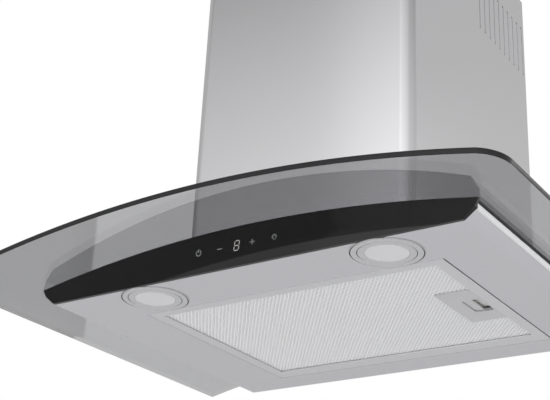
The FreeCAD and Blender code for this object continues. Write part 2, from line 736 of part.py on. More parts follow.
def fan_box_deck():
    """Lid of the fan box, with the blower's outlet and the gland's hole."""
    half = HALF_FAN_BOX
    z = FAN_BOX_TOP_Z + SEAT_GAP
    deck = box(-half, half, FAN_BOX_FRONT_Y, FAN_BOX_REAR_Y, z, z + SHEET)
    inset = SCROLL_WALL
    outlet = box(-HALF_SCROLL + inset, HALF_SCROLL - inset, BLOWER_Y + inset,
                 SCROLL_REAR_Y - inset, z - CUT_MARGIN, z + SHEET + CUT_MARGIN)
    gland = cylinder(GLAND_R + SEAT_GAP, SHEET + 2 * CUT_MARGIN,
                     V(GLAND_X, GLAND_Y, z - CUT_MARGIN))
    return deck.cut(outlet).cut(gland)


def side_clamp(sign):
    """Angle that holds the glass down beside the fan box."""
    inner = HALF_FAN_BOX + SEAT_GAP
    y0 = FAN_BOX_FRONT_Y + CLAMP_FRONT_INSET
    y1 = FAN_BOX_REAR_Y - CLAMP_REAR_INSET
    low = ARCH_R + GLASS_THICKNESS + GLASS_PAD_GAP
    foot = arch_band(low, low + CLAMP_THICKNESS, HALF_GLASS, y0, y1)
    foot = foot.common(box(inner, inner + CLAMP_FOOT, y0, y1, 0, 2 * GLASS_CROWN_Z))
    leg_z = arch_z(low, inner + CLAMP_THICKNESS)
    leg = box(inner, inner + CLAMP_THICKNESS, y0, y1, leg_z, leg_z + CLAMP_LEG)
    clamp = join([foot, leg])
    return clamp if sign > 0 else clamp.mirror(V(0, 0, 0), V(1, 0, 0))


def front_clamp():
    outer = FAN_BOX_FRONT_Y - SEAT_GAP
    half = HALF_FAN_BOX - CLAMP_FRONT_INSET
    low = ARCH_R + GLASS_THICKNESS + GLASS_PAD_GAP
    foot = arch_band(low, low + CLAMP_THICKNESS, half, outer - CLAMP_FOOT, outer)
    leg = box(-half, half, outer - CLAMP_THICKNESS, outer, GLASS_CROWN_Z,
              GLASS_CROWN_Z + FRONT_CLAMP_HEIGHT)
    leg = leg.cut(under_arch(low, HALF_GLASS, 2 * FASCIA_Y, 0, -CUT_MARGIN))
    return join([foot, leg])


# ---------------------------------------------------------------- blower
def scroll_face(inset, x):
    """Spiral of three quarter arcs, each wider than the last, then straight up."""
    y = BLOWER_Y
    z = BLOWER_Z
    r1 = SCROLL_START_R - inset
    r2 = r1 + SCROLL_STEP_R
    r3 = r2 + SCROLL_STEP_R
    top = FAN_BOX_TOP_Z - SEAT_GAP + inset
    rear = y + SCROLL_STEP_R + r3
    tongue = V(x, y + inset, z + r1)
    start = V(x, y, z + r1)
    front = V(x, y - r1, z)
    bottom = V(x, y + SCROLL_STEP_R, z - r2)
    side = V(x, rear, z + SCROLL_STEP_R)

    def mid(cy, cz, radius, angle):
        turn = math.radians(angle)
        return V(x, cy + radius * math.cos(turn), cz + radius * math.sin(turn))

    edges = [
        Part.Arc(start, mid(y, z, r1, 135), front).toShape(),
        Part.Arc(front, mid(y + SCROLL_STEP_R, z, r2, 225), bottom).toShape(),
        Part.Arc(bottom, mid(y + SCROLL_STEP_R, z + SCROLL_STEP_R, r3, 315), side).toShape(),
        Part.LineSegment(side, V(x, rear, top)).toShape(),
        Part.LineSegment(V(x, rear, top), V(x, tongue.y, top)).toShape(),
        Part.LineSegment(V(x, tongue.y, top), tongue).toShape(),
    ]
    if inset > 0:
        edges.append(Part.LineSegment(tongue, start).toShape())
    return Part.Face(Part.Wire(edges))


def scroll_half(sign):
    outer = scroll_face(0.0, 0.0).extrude(V(HALF_SCROLL, 0, 0))
    inner = scroll_face(SCROLL_WALL, -CUT_MARGIN).extrude(V(HALF_SCROLL - SCROLL_WALL + CUT_MARGIN, 0, 0))
    inlet = cylinder(INLET_R, 3 * SCROLL_WALL, V(HALF_SCROLL - 2 * SCROLL_WALL, BLOWER_Y, BLOWER_Z),
                     V(1, 0, 0))
    shell = outer.cut(inner).cut(inlet)
    half = shell if sign > 0 else shell.mirror(V(0, 0, 0), V(1, 0, 0))
    half.translate(V(sign * SEAT_GAP / 2, 0, 0))
    return half


def around_blower(radius, angle_deg, x):
    turn = math.radians(angle_deg)
    return V(x, BLOWER_Y + radius * math.cos(turn), BLOWER_Z + radius * math.sin(turn))


def impeller():
    half = IMPELLER_WIDTH / 2
    centre = V(-half, BLOWER_Y, BLOWER_Z)
    axis = V(1, 0, 0)
    inner_r = IMPELLER_R - BLADE_CHORD * math.cos(math.radians(BLADE_ANGLE_DEG)) - RIM_INSET
    rims = [tube(IMPELLER_R, inner_r, RIM_WIDTH, centre, axis),
            tube(IMPELLER_R, inner_r, RIM_WIDTH, centre + V(2 * half - RIM_WIDTH, 0, 0), axis)]
    disc = cylinder(IMPELLER_R, IMPELLER_DISC, V(-IMPELLER_DISC / 2, BLOWER_Y, BLOWER_Z), axis)
    hub = cylinder(HUB_R, HUB_LENGTH, V(-HUB_LENGTH / 2, BLOWER_Y, BLOWER_Z), axis)
    root_r = inner_r + BLADE_ROOT_STEP
    blades = []
    for i in range(BLADE_COUNT):
        blade = box(-half, half, root_r, root_r + BLADE_CHORD, -BLADE_THICKNESS / 2,
                    BLADE_THICKNESS / 2)
        blade.rotate(V(0, root_r, 0), axis, BLADE_ANGLE_DEG)
        blade.rotate(V(0, 0, 0), axis, 360.0 * i / BLADE_COUNT)
        blade.translate(V(0, BLOWER_Y, BLOWER_Z))
        blades.append(blade)
    wheel = disc.multiFuse(rims + [hub] + blades)
    envelope = cylinder(IMPELLER_R, 2 * half, centre, axis)
    bore = cylinder(SHAFT_R, 2 * half, centre, axis)
    return wheel.common(envelope).cut(bore).removeSplitter()


def motor_shaft():
    x0 = -HUB_LENGTH / 2 - SHAFT_STUB
    return cylinder(SHAFT_R, MOTOR_X + MOTOR_LENGTH - MOTOR_END_WALL - x0,
                    V(x0, BLOWER_Y, BLOWER_Z), V(1, 0, 0))


def bracket_x():
    return HALF_SCROLL + GROMMET_HEIGHT + SEAT_GAP


def motor_housing():
    axis = V(1, 0, 0)
    body = cylinder(MOTOR_R, MOTOR_LENGTH, V(MOTOR_X, BLOWER_Y, BLOWER_Z), axis)
    body = body.makeFillet(MOTOR_EDGE_R, body.Edges)
    nose = cylinder(HUB_R, MOTOR_NOSE, V(MOTOR_X - MOTOR_NOSE, BLOWER_Y, BLOWER_Z), axis)
    flange_x = bracket_x() + BRACKET_THICKNESS + SEAT_GAP
    flange = cylinder(MOTOR_FLANGE_R, MOTOR_FLANGE_THICKNESS, V(flange_x, BLOWER_Y, BLOWER_Z), axis)
    bore_x0 = MOTOR_X - MOTOR_NOSE - CUT_MARGIN
    bore_x1 = MOTOR_X + MOTOR_LENGTH - MOTOR_END_WALL + SHAFT_STUB
    bore = cylinder(SHAFT_R + SHAFT_RUNNING_GAP, bore_x1 - bore_x0, V(bore_x0, BLOWER_Y, BLOWER_Z),
                    axis)
    return join([body, nose, flange]).cut(bore)


def bracket_angles():
    return [90 + 360 / BRACKET_ARMS * i for i in range(BRACKET_ARMS)]


def motor_bracket():
    axis = V(1, 0, 0)
    x = bracket_x()
    centre = V(x, BLOWER_Y, BLOWER_Z)
    hub = cylinder(MOTOR_FLANGE_R + BRACKET_RING, BRACKET_THICKNESS, centre, axis)
    arms = []
    for angle in bracket_angles():
        arm = box(x, x + BRACKET_THICKNESS, 0, BRACKET_BOLT_R + BRACKET_ARM_END,
                  -BRACKET_ARM_WIDTH / 2, BRACKET_ARM_WIDTH / 2)
        arm.rotate(V(0, 0, 0), axis, angle)
        arm.translate(V(0, BLOWER_Y, BLOWER_Z))
        arms.append(arm)
    bore = cylinder(MOTOR_R + BRACKET_BORE_GAP, BRACKET_THICKNESS, centre, axis)
    holes = [cylinder(SCREW_R + SEAT_GAP, BRACKET_THICKNESS,
                      around_blower(BRACKET_BOLT_R, a, x), axis) for a in bracket_angles()]
    return cut_all(join([hub] + arms), [bore] + holes)


def motor_grommets():
    axis = V(1, 0, 0)
    x = HALF_SCROLL + SEAT_GAP
    return group([tube(GROMMET_R, SCREW_R + SEAT_GAP, GROMMET_HEIGHT - SEAT_GAP,
                       around_blower(BRACKET_BOLT_R, a, x), axis) for a in bracket_angles()])


def motor_screws():
    axis = V(1, 0, 0)
    x = bracket_x() + BRACKET_THICKNESS + SEAT_GAP
    screws = []
    for angle in bracket_angles():
        head = cylinder(SCREW_HEAD_R, SCREW_HEAD_HEIGHT, around_blower(BRACKET_BOLT_R, angle, x),
                        axis)
        length = x - HALF_SCROLL - SEAT_GAP
        shank = cylinder(SCREW_R, length, around_blower(BRACKET_BOLT_R, angle, x - length), axis)
        screws.append(join([head, shank]))
    return group(screws)


# ---------------------------------------------------------------- duct outlet with dampers
def outlet_base_z():
    return FAN_BOX_TOP_Z + 2 * SEAT_GAP + SHEET


def outlet_collar():
    """Spigot for the duct, with holes for the damper pins."""
    z = outlet_base_z()
    centre = V(0, OUTLET_Y, z)
    wall = cylinder(OUTLET_R, OUTLET_HEIGHT, centre)
    flange = cylinder(OUTLET_FLANGE_R, OUTLET_FLANGE_THICKNESS, centre)
    bore = cylinder(OUTLET_R - OUTLET_WALL, OUTLET_HEIGHT, centre)
    shell = wall.fuse(flange).removeSplitter().cut(bore)
    holes = [cylinder(DAMPER_PIN_R + DAMPER_PIN_GAP, 4 * OUTLET_R,
                      V(-2 * OUTLET_R, OUTLET_Y + side * DAMPER_HINGE_Y, z + DAMPER_Z), V(1, 0, 0))
             for side in (-1, 1)]
    return cut_all(shell, holes)


def damper_seat():
    """Ring pressed into the collar. The closed flaps rest on it and on its bar."""
    hinge_z = outlet_base_z() + DAMPER_Z
    z = hinge_z - DAMPER_BARREL_R - UPPER_REST_GAP - LEDGE_THICKNESS
    outer_r = OUTLET_R - OUTLET_WALL - SEAT_GAP
    ring = tube(outer_r, outer_r - DAMPER_LEDGE, LEDGE_THICKNESS, V(0, OUTLET_Y, z))
    bar_x = outer_r - DAMPER_LEDGE / 2
    bar = box(-bar_x, bar_x, OUTLET_Y - DAMPER_BAR / 2, OUTLET_Y + DAMPER_BAR / 2, z, hinge_z)
    return join([ring, bar])


def damper_flap(side):
    """Half disc on a barrel. Its pins turn in the collar's wall."""
    hinge_z = outlet_base_z() + DAMPER_Z
    y = OUTLET_Y + side * DAMPER_HINGE_Y
    bore_r = OUTLET_R - OUTLET_WALL
    radius = bore_r - DAMPER_EDGE_GAP
    disc = cylinder(radius, DAMPER_THICKNESS, V(0, OUTLET_Y, hinge_z - DAMPER_BARREL_R))
    keep = box(-radius, radius, min(y, y + side * radius), max(y, y + side * radius),
               hinge_z - 2 * DAMPER_BARREL_R, hinge_z + DAMPER_BARREL_R)
    axis = V(1, 0, 0)
    reach = math.sqrt(bore_r ** 2 - (DAMPER_HINGE_Y + DAMPER_BARREL_R) ** 2) - BARREL_END_GAP
    barrel = cylinder(DAMPER_BARREL_R, 2 * reach, V(-reach, y, hinge_z), axis)
    pin_x = math.sqrt(OUTLET_R ** 2 - DAMPER_HINGE_Y ** 2) - PIN_END_GAP
    pin = cylinder(DAMPER_PIN_R, 2 * pin_x, V(-pin_x, y, hinge_z), axis)
    return join([disc.common(keep), barrel, pin])


def outlet_screws():
    z = outlet_base_z() + OUTLET_FLANGE_THICKNESS + SEAT_GAP
    radius = (OUTLET_FLANGE_R + OUTLET_R) / 2
    screws = []
    for i in range(OUTLET_SCREWS):
        turn = 2 * math.pi * (i + 0.5) / OUTLET_SCREWS
        screws.append(cylinder(SCREW_HEAD_R, SCREW_HEAD_HEIGHT,
                               V(radius * math.cos(turn), OUTLET_Y + radius * math.sin(turn), z)))
    return group(screws)


# ---------------------------------------------------------------- electrics
def electric_top_z():
    return FAN_BOX_TOP_Z - ELECTRIC_TOP_GAP


def terminal_box():
    """Open box screwed to the fan box's left wall. Its lid faces the blower."""
    dx, dy, dz = TERMINAL_BOX
    x0 = -HALF_FAN_BOX + SHEET + SEAT_GAP
    z1 = electric_top_z()
    outer = box(x0, x0 + dx - BOX_WALL, TERMINAL_Y - dy / 2, TERMINAL_Y + dy / 2, z1 - dz, z1)
    inner = box(x0 + BOX_WALL, x0 + dx, TERMINAL_Y - dy / 2 + BOX_WALL,
                TERMINAL_Y + dy / 2 - BOX_WALL, z1 - dz + BOX_WALL, z1 - BOX_WALL)
    return outer.cut(inner)


def terminal_lid():
    edges = terminal_box().BoundBox
    x = edges.XMax + SEAT_GAP
    return box(x, x + BOX_WALL, edges.YMin, edges.YMax, edges.ZMin, edges.ZMax)


def terminal_block():
    edges = terminal_box().BoundBox
    dx, dy, dz = TERMINAL_BLOCK
    x = edges.XMin + BOX_WALL + SEAT_GAP
    z = edges.Center.z
    block = box(x, x + dx, TERMINAL_Y - dy / 2, TERMINAL_Y + dy / 2, z - dz / 2, z + dz / 2)
    ways = []
    for i in range(TERMINAL_WAYS):
        y = TERMINAL_Y + (i - (TERMINAL_WAYS - 1) / 2) * WAY_PITCH
        ways.append(box(x + WAY_FLOOR, x + dx + CUT_MARGIN, y - WAY_WIDTH / 2, y + WAY_WIDTH / 2,
                        z - WAY_HEIGHT / 2, z + WAY_HEIGHT / 2))
    return cut_all(block, ways)


def led_driver():
    dx, dy, dz = DRIVER_BOX
    x1 = HALF_FAN_BOX - SHEET - SEAT_GAP
    z1 = electric_top_z()
    case = box(x1 - dx, x1, DRIVER_Y - dy / 2, DRIVER_Y + dy / 2, z1 - dz, z1)
    return case.makeFillet(DRIVER_EDGE_R, case.Edges)


def capacitor():
    x1 = HALF_FAN_BOX - SHEET - SEAT_GAP
    centre = V(x1 - CAPACITOR_R, FAN_BOX_REAR_Y - SHEET - CAPACITOR_R - CAPACITOR_REAR_GAP,
               electric_top_z() - CAPACITOR_LENGTH)
    can = cylinder(CAPACITOR_R, CAPACITOR_LENGTH, centre)
    cap = cylinder(CAPACITOR_CAP_R, ELECTRIC_TOP_GAP - SEAT_GAP, centre + V(0, 0, CAPACITOR_LENGTH))
    return join([can, cap])


def cable_gland():
    """Empty gland in the deck. No cord is shown, so none is made."""
    z = FAN_BOX_TOP_Z + 2 * SEAT_GAP + SHEET
    base = V(GLAND_X, GLAND_Y, z)
    nut = Part.Face(Part.makePolygon([base + V(GLAND_NUT_R * math.cos(math.radians(60 * i)),
                                               GLAND_NUT_R * math.sin(math.radians(60 * i)), 0)
                                      for i in range(7)])).extrude(V(0, 0, GLAND_NUT_HEIGHT))
    below = cylinder(GLAND_R, GLAND_THREAD, base - V(0, 0, GLAND_THREAD))
    dome = cylinder(GLAND_R + GLAND_DOME_WALL, GLAND_HEIGHT - GLAND_NUT_HEIGHT,
                    base + V(0, 0, GLAND_NUT_HEIGHT))
    dome = dome.makeFillet(GLAND_DOME_EDGE_R, [dome.Edges[0]])
    bore = cylinder(GLAND_BORE_R, GLAND_THREAD + GLAND_HEIGHT + 2 * CUT_MARGIN,
                    base - V(0, 0, GLAND_THREAD + CUT_MARGIN))
    return join([nut, below, dome]).cut(bore)


# ---------------------------------------------------------------- chimney
def cover_outline(half_width, rear_y, front_y, bend_r, z0, z1):
    """Solid block with the two bent front corners."""
    block = box(-half_width, half_width, front_y, rear_y, z0, z1)
    bends = [e for e in block.Edges if abs(e.Vertexes[0].Z - e.Vertexes[-1].Z) > 1
             and abs(e.Vertexes[0].Y - front_y) < SEAT_GAP]
    return block.makeFillet(bend_r, bends)


def cover_shell(half_width, rear_y, front_y, bend_r, z0, z1):
    """Bent cover: front, two sides and a narrow return along the wall."""
    outer = cover_outline(half_width, rear_y, front_y, bend_r, z0, z1)
    inner = cover_outline(half_width - SHEET, rear_y - SHEET, front_y + SHEET, bend_r - SHEET,
                          z0 - CUT_MARGIN, z1 + CUT_MARGIN)
    gap = half_width - CHIMNEY_RETURN
    back = box(-gap, gap, rear_y - 2 * SHEET, rear_y + SHEET, z0 - CUT_MARGIN, z1 + CUT_MARGIN)
    return outer.cut(inner).cut(back)


def slot_cutter(y):
    z1 = CHIMNEY_TOP_Z - SLOT_TOP_GAP
    half = SLOT_WIDTH / 2
    reach = CHIMNEY_WIDTH
    middle = box(-reach, reach, y - half, y + half, z1 - SLOT_HEIGHT + half, z1 - half)
    ends = [cylinder(half, 2 * reach, V(-reach, y, z), V(1, 0, 0))
            for z in (z1 - half, z1 - SLOT_HEIGHT + half)]
    return join([middle] + ends)


def chimney_lower():
    cover = cover_shell(CHIMNEY_WIDTH / 2, 0.0, -CHIMNEY_DEPTH, CHIMNEY_BEND_R, 0, CHIMNEY_TOP_Z)
    glass = under_arch(ARCH_R + GLASS_THICKNESS + GLASS_PAD_GAP, HALF_GLASS, 2 * FASCIA_Y,
                       CUT_MARGIN, -CUT_MARGIN)
    slots = [slot_cutter(SLOT_FIRST_Y - SLOT_PITCH * i) for i in range(SLOT_COUNT)]
    holes = [cover_screw_hole(sign) for sign in (-1, 1)]
    return cut_all(cover.cut(glass), slots + holes)


def chimney_upper():
    gap = SHEET + CHIMNEY_SLIDE_GAP
    return cover_shell(UPPER_HALF_WIDTH, -gap, -CHIMNEY_DEPTH + gap, CHIMNEY_BEND_R - gap,
                       UPPER_BOTTOM_Z + UPPER_REST_GAP, UPPER_TOP_Z)


def cover_screw_hole(sign):
    x = CHIMNEY_WIDTH / 2
    return cylinder(SCREW_R + SEAT_GAP, COVER_SCREW_LENGTH,
                    V(sign * x - COVER_SCREW_LENGTH / 2, COVER_BRACKET_Y, COVER_SCREW_Z), V(1, 0, 0))


def cover_bracket(sign):
    """Channel from the fan box to the lower cover. The upper cover stands on its top."""
    x0 = HALF_FAN_BOX + SEAT_GAP
    x1 = CHIMNEY_WIDTH / 2 - SHEET - SEAT_GAP
    y0 = COVER_BRACKET_Y - COVER_BRACKET_DEPTH / 2
    y1 = COVER_BRACKET_Y + COVER_BRACKET_DEPTH / 2
    z0 = COVER_BRACKET_Z
    z1 = UPPER_BOTTOM_Z
    outer = box(x0, x1, y0, y1, z0, z1)
    t = CLAMP_THICKNESS
    hollow = box(x0 + t, x1 - t, y0 - CUT_MARGIN, y1 + CUT_MARGIN, z0 - CUT_MARGIN, z1 - t)
    clamp_leg = box(x0 - CUT_MARGIN, x0 + 2 * t, y0 - CUT_MARGIN, y1 + CUT_MARGIN, z0 - CUT_MARGIN,
                    arch_z(ARCH_R + GLASS_THICKNESS, x0) + CLAMP_LEG + 2 * t)
    bracket = outer.cut(hollow).cut(clamp_leg).cut(cover_screw_hole(1))
    return bracket if sign > 0 else bracket.mirror(V(0, 0, 0), V(1, 0, 0))


def cover_screws():
    screws = []
    for sign in (-1, 1):
        x = CHIMNEY_WIDTH / 2 + SEAT_GAP
        head = cylinder(SCREW_HEAD_R, SCREW_HEAD_HEIGHT, V(x, COVER_BRACKET_Y, COVER_SCREW_Z),
                        V(1, 0, 0))
        shank = cylinder(SCREW_R, COVER_SCREW_LENGTH,
                         V(x - COVER_SCREW_LENGTH, COVER_BRACKET_Y, COVER_SCREW_Z), V(1, 0, 0))
        screw = join([head, shank])
        screws.append(screw if sign > 0 else screw.mirror(V(0, 0, 0), V(1, 0, 0)))
    return group(screws)


def upper_bracket():
    """Wall bracket of the upper cover, held between its sides near the top."""
    half = UPPER_HALF_WIDTH - SHEET - SEAT_GAP
    rear = -2 * SHEET - CHIMNEY_SLIDE_GAP - SEAT_GAP
    t = TOP_BRACKET_THICKNESS
    z1 = UPPER_TOP_Z - TOP_BRACKET_DROP
    z0 = z1 - TOP_BRACKET_HEIGHT
    plate = box(-half, half, rear - t, rear, z0, z1)
    ears = [box(x, x + t, rear - TOP_BRACKET_EAR, rear, z0, z1) for x in (-half, half - t)]
    holes = [cylinder(WALL_BOLT_HOLE_R, 4 * t, V(x, rear - 3 * t, (z0 + z1) / 2), V(0, 1, 0))
             for x in (-WALL_BOLT_SPACING_X / 2, WALL_BOLT_SPACING_X / 2)]
    return cut_all(join([plate] + ears), holes)


# ---------------------------------------------------------------- wall fixing
def wall_bolt_places():
    return [(sx * WALL_BOLT_SPACING_X / 2, WALL_BOLT_Z + sz * WALL_BOLT_SPACING_Z / 2)
            for sx in (-1, 1) for sz in (-1, 1)]


def wall_rail():
    """Rail on the wall. Its lip carries the hood's hook."""
    t = RAIL_THICKNESS
    z0 = WALL_BOLT_Z - RAIL_HEIGHT / 2
    z1 = WALL_BOLT_Z + RAIL_HEIGHT / 2
    d = RAIL_STANDOFF
    section = [(0, z0), (0, z1), (-d, z1), (-d, z1 + RAIL_LIP), (-d - t, z1 + RAIL_LIP),
               (-d - t, z1 - t), (-t, z1 - t), (-t, z0)]
    rail = along_x(section, -RAIL_WIDTH / 2, RAIL_WIDTH / 2)
    holes = [cylinder(WALL_BOLT_HOLE_R, 4 * t, V(x, -3 * t, z), V(0, 1, 0))
             for x, z in wall_bolt_places()]
    return cut_all(rail, holes)


def hanger_hook():
    """Hook on the fan box's back. It hangs over the rail's lip."""
    t = RAIL_THICKNESS
    lip_top = WALL_BOLT_Z + RAIL_HEIGHT / 2 + RAIL_LIP
    back = FAN_BOX_REAR_Y + SEAT_GAP
    nose = -RAIL_STANDOFF + HOOK_GAP
    crown = lip_top + HOOK_GAP
    section = [(back, crown - HOOK_HEIGHT), (back, crown + t), (nose + t, crown + t),
               (nose + t, crown - RAIL_LIP + HOOK_LIP_GAP), (nose, crown - RAIL_LIP + HOOK_LIP_GAP),
               (nose, crown), (back + t, crown), (back + t, crown - HOOK_HEIGHT)]
    return along_x(section, -RAIL_WIDTH / 2, RAIL_WIDTH / 2)


def wall_buffers():
    """Rubber buffers that keep the body's back off the wall."""
    return group([cylinder(BUFFER_R, BODY_WALL_GAP - SEAT_GAP, V(x, BODY_REAR_Y + SEAT_GAP, BUFFER_Z),
                           V(0, 1, 0)) for x in (-BUFFER_X, BUFFER_X)])


# ---------------------------------------------------------------- every node
def filter_nodes():
    w = FILTER_WALL + MESH_GAP
    face_top = w + MESH_SHEET
    back_z = FILTER_HEIGHT - w - MESH_SHEET
    return {
        "filter_frame": filter_frame(),
        "filter_face_mesh": mesh_sheet(w),
        "filter_core": mesh_core(face_top + MESH_GAP, back_z - MESH_GAP),
        "filter_back_mesh": mesh_sheet(back_z),
        "latch_plate": latch_plate(),
        "latch_slider": latch_slider(),
        "latch_spring": latch_spring(),
    }


def body_nodes():
    return {
        "hood_tray": hood_tray(),
        "body_top_panel": body_top_panel(),
        "glass_canopy": glass_canopy(),
        "glass_gasket": glass_gasket(),
        "fascia_panel": fascia_panel(),
        "touch_carrier": touch_carrier(),
        "touch_board": touch_board(),
        "display_module": display_module(),
        "touch_springs": touch_springs(),
    }


def lamp_nodes():
    nodes = {}
    for side, x in lamp_places().items():
        nodes["lamp_can_" + side] = lamp_can(x)
        nodes["lamp_ring_" + side] = lamp_ring(x)
        nodes["lamp_lens_" + side] = lamp_lens(x)
        nodes["lamp_board_" + side] = lamp_board(x)
    return nodes


def blower_nodes():
    return {
        "fan_box": fan_box(),
        "fan_box_deck": fan_box_deck(),
        "glass_clamp_left": side_clamp(-1),
        "glass_clamp_right": side_clamp(1),
        "glass_clamp_front": front_clamp(),
        "scroll_half_left": scroll_half(-1),
        "scroll_half_right": scroll_half(1),
        "impeller": impeller(),
        "motor_shaft": motor_shaft(),
        "motor_housing": motor_housing(),
        "motor_bracket": motor_bracket(),
        "motor_grommets": motor_grommets(),
        "motor_screws": motor_screws(),
        "outlet_collar": outlet_collar(),
        "damper_seat": damper_seat(),
        "damper_flap_front": damper_flap(-1),
        "damper_flap_rear": damper_flap(1),
        "outlet_screws": outlet_screws(),
        "terminal_box": terminal_box(),
        "terminal_lid": terminal_lid(),
        "terminal_block": terminal_block(),
        "led_driver": led_driver(),
        "capacitor": capacitor(),
        "cable_gland": cable_gland(),
    }


def chimney_nodes():
    return {
        "chimney_lower": chimney_lower(),
        "chimney_upper": chimney_upper(),
        "cover_bracket_left": cover_bracket(-1),
        "cover_bracket_right": cover_bracket(1),
        "cover_screws": cover_screws(),
        "upper_bracket": upper_bracket(),
        "wall_rail": wall_rail(),
        "hanger_hook": hanger_hook(),
        "wall_buffers": wall_buffers(),
    }


def main():
    os.makedirs("parts", exist_ok=True)
    for nodes in (body_nodes(), lamp_nodes(), filter_nodes(), blower_nodes(), chimney_nodes()):
        for node, shape in nodes.items():
            save(shape, node)
            print(node, len(shape.Solids), round(shape.Volume), shape.isValid())


main()
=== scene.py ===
import json
import math

import bmesh
import bpy
from mathutils import Matrix, Vector

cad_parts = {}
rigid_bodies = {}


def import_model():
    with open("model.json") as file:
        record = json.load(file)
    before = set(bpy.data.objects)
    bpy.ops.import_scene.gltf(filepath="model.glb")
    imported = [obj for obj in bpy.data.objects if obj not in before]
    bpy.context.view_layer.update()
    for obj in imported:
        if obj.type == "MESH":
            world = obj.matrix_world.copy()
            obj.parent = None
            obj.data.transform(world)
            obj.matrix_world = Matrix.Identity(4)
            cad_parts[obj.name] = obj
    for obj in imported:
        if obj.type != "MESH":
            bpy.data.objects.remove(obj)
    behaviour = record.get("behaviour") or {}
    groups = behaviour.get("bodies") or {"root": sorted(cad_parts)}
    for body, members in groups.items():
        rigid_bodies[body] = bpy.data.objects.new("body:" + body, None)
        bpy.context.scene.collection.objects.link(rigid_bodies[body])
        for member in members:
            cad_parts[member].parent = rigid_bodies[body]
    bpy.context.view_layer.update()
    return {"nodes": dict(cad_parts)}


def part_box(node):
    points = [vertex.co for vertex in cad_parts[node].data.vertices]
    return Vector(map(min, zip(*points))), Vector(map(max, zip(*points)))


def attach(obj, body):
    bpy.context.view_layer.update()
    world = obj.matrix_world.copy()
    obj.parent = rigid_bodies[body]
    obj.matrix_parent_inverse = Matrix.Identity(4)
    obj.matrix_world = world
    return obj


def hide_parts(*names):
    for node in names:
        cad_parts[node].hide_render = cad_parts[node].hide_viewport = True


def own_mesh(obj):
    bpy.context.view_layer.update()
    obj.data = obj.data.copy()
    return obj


for old in list(bpy.data.objects):
    bpy.data.objects.remove(old)
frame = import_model()

# ---------------------------------------------------------------- sizes, in metres
# Each section below starts with its own sizes. These are shared.
UNDERSIDE_Z = -0.185
FASCIA_Y = -0.385
FASCIA_LEAN = math.tan(math.radians(3.7))
GLASS_HALF = 0.300
GLASS_FRONT = -0.472
GLASS_REAR = -0.015
GLASS_CROWN = -0.146
GLASS_DROP = 0.034
GLASS_THICK = 0.005
GLASS_CORNER = 0.022
NOTCH_HALF = 0.121
NOTCH_FRONT = -0.271
GLASS_STEP = 0.006
GLASS_BEVEL = 0.0007
CORNER_STEPS = 12


# ---------------------------------------------------------------- node helpers
class Tree:
    """Short calls for building a shader node tree."""

    def __init__(self, tree):
        self.tree = tree
        tree.nodes.clear()

    def add(self, kind, inputs=(), **props):
        node = self.tree.nodes.new(kind)
        for key, value in props.items():
            setattr(node, key, value)
        for key, value in dict(inputs).items():
            if isinstance(value, bpy.types.NodeSocket):
                self.tree.links.new(value, node.inputs[key])
            else:
                node.inputs[key].default_value = value
        return node

    def math(self, operation, a, b=0.0):
        return self.add("ShaderNodeMath", {0: a, 1: b}, operation=operation).outputs[0]

    def ramp(self, value, stops):
        """Grey ramp from (position, level) pairs."""
        node = self.add("ShaderNodeValToRGB", {0: value})
        node.color_ramp.interpolation = "LINEAR"
        elements = node.color_ramp.elements
        while len(elements) < len(stops):
            elements.new(0.5)
        for element, (position, level) in zip(elements, stops):
            element.position = position
            element.color = grey(level)
        return node.outputs[0]

    def remap(self, value, a, b, low, high, smooth=False):
        """Value from a to b mapped to low to high, and held there outside a to b."""
        kind = "SMOOTHSTEP" if smooth else "LINEAR"
        return self.add("ShaderNodeMapRange", {0: value, 1: a, 2: b, 3: low, 4: high},
                        interpolation_type=kind).outputs[0]

    def scaled(self, colour, factor):
        """Colour multiplied by a factor that varies over the piece."""
        return self.add("ShaderNodeVectorMath", {0: colour, 3: factor},
                        operation="SCALE").outputs[0]

    def noise(self, scale, detail=3.0):
        """Noise in the piece's own coordinates. scale is per metre along x, y and z."""
        coords = self.add("ShaderNodeTexCoord").outputs["Object"]
        mapped = self.add("ShaderNodeMapping", {"Vector": coords, "Scale": scale}).outputs[0]
        return self.add("ShaderNodeTexNoise", {"Vector": mapped, "Scale": 1.0, "Detail": detail,
                                               "Roughness": 0.5}).outputs["Fac"]


def grey(level):
    return (level, level, level, 1.0)


def new_material(name):
    material = bpy.data.materials.new(name)
    material.use_nodes = True
    return material, Tree(material.node_tree)


def surface(name, base, metallic, roughness, grain, tint=0.04, rough_tint=0.05, bump=0.0,
            spots=0.0, anisotropic=0.0, tangent_axis=None, specular=0.5):
    """Principled material whose colour, roughness and bump vary by noise.

    grain is the fine noise's scale per metre. spots adds slow, broad variation to the colour."""
    material, tree = new_material(name)
    fine = tree.noise(grain)
    broad = tree.noise(BROAD_GRAIN, 2.0)
    level = tree.math("ADD", tree.remap(fine, 0.25, 0.75, 1 - tint, 1 + tint),
                      tree.remap(broad, 0.3, 0.7, -spots, spots))
    shader = tree.add("ShaderNodeBsdfPrincipled", {
        "Base Color": tree.scaled(base, level),
        "Roughness": tree.remap(fine, 0.25, 0.75, max(roughness - rough_tint, 0.02),
                                roughness + rough_tint),
        "Metallic": metallic, "IOR": 1.5, "Specular IOR Level": specular,
        "Anisotropic": anisotropic, "Anisotropic Rotation": QUARTER_TURN})
    if bump:
        height = tree.add("ShaderNodeBump", {"Height": fine, "Strength": bump,
                                             "Distance": BUMP_DEPTH})
        tree.tree.links.new(height.outputs[0], shader.inputs["Normal"])
    if tangent_axis:
        tangent = tree.add("ShaderNodeTangent", direction_type="RADIAL", axis=tangent_axis)
        tree.tree.links.new(tangent.outputs[0], shader.inputs["Tangent"])
    tree.add("ShaderNodeOutputMaterial", {0: shader.outputs[0]})
    return material


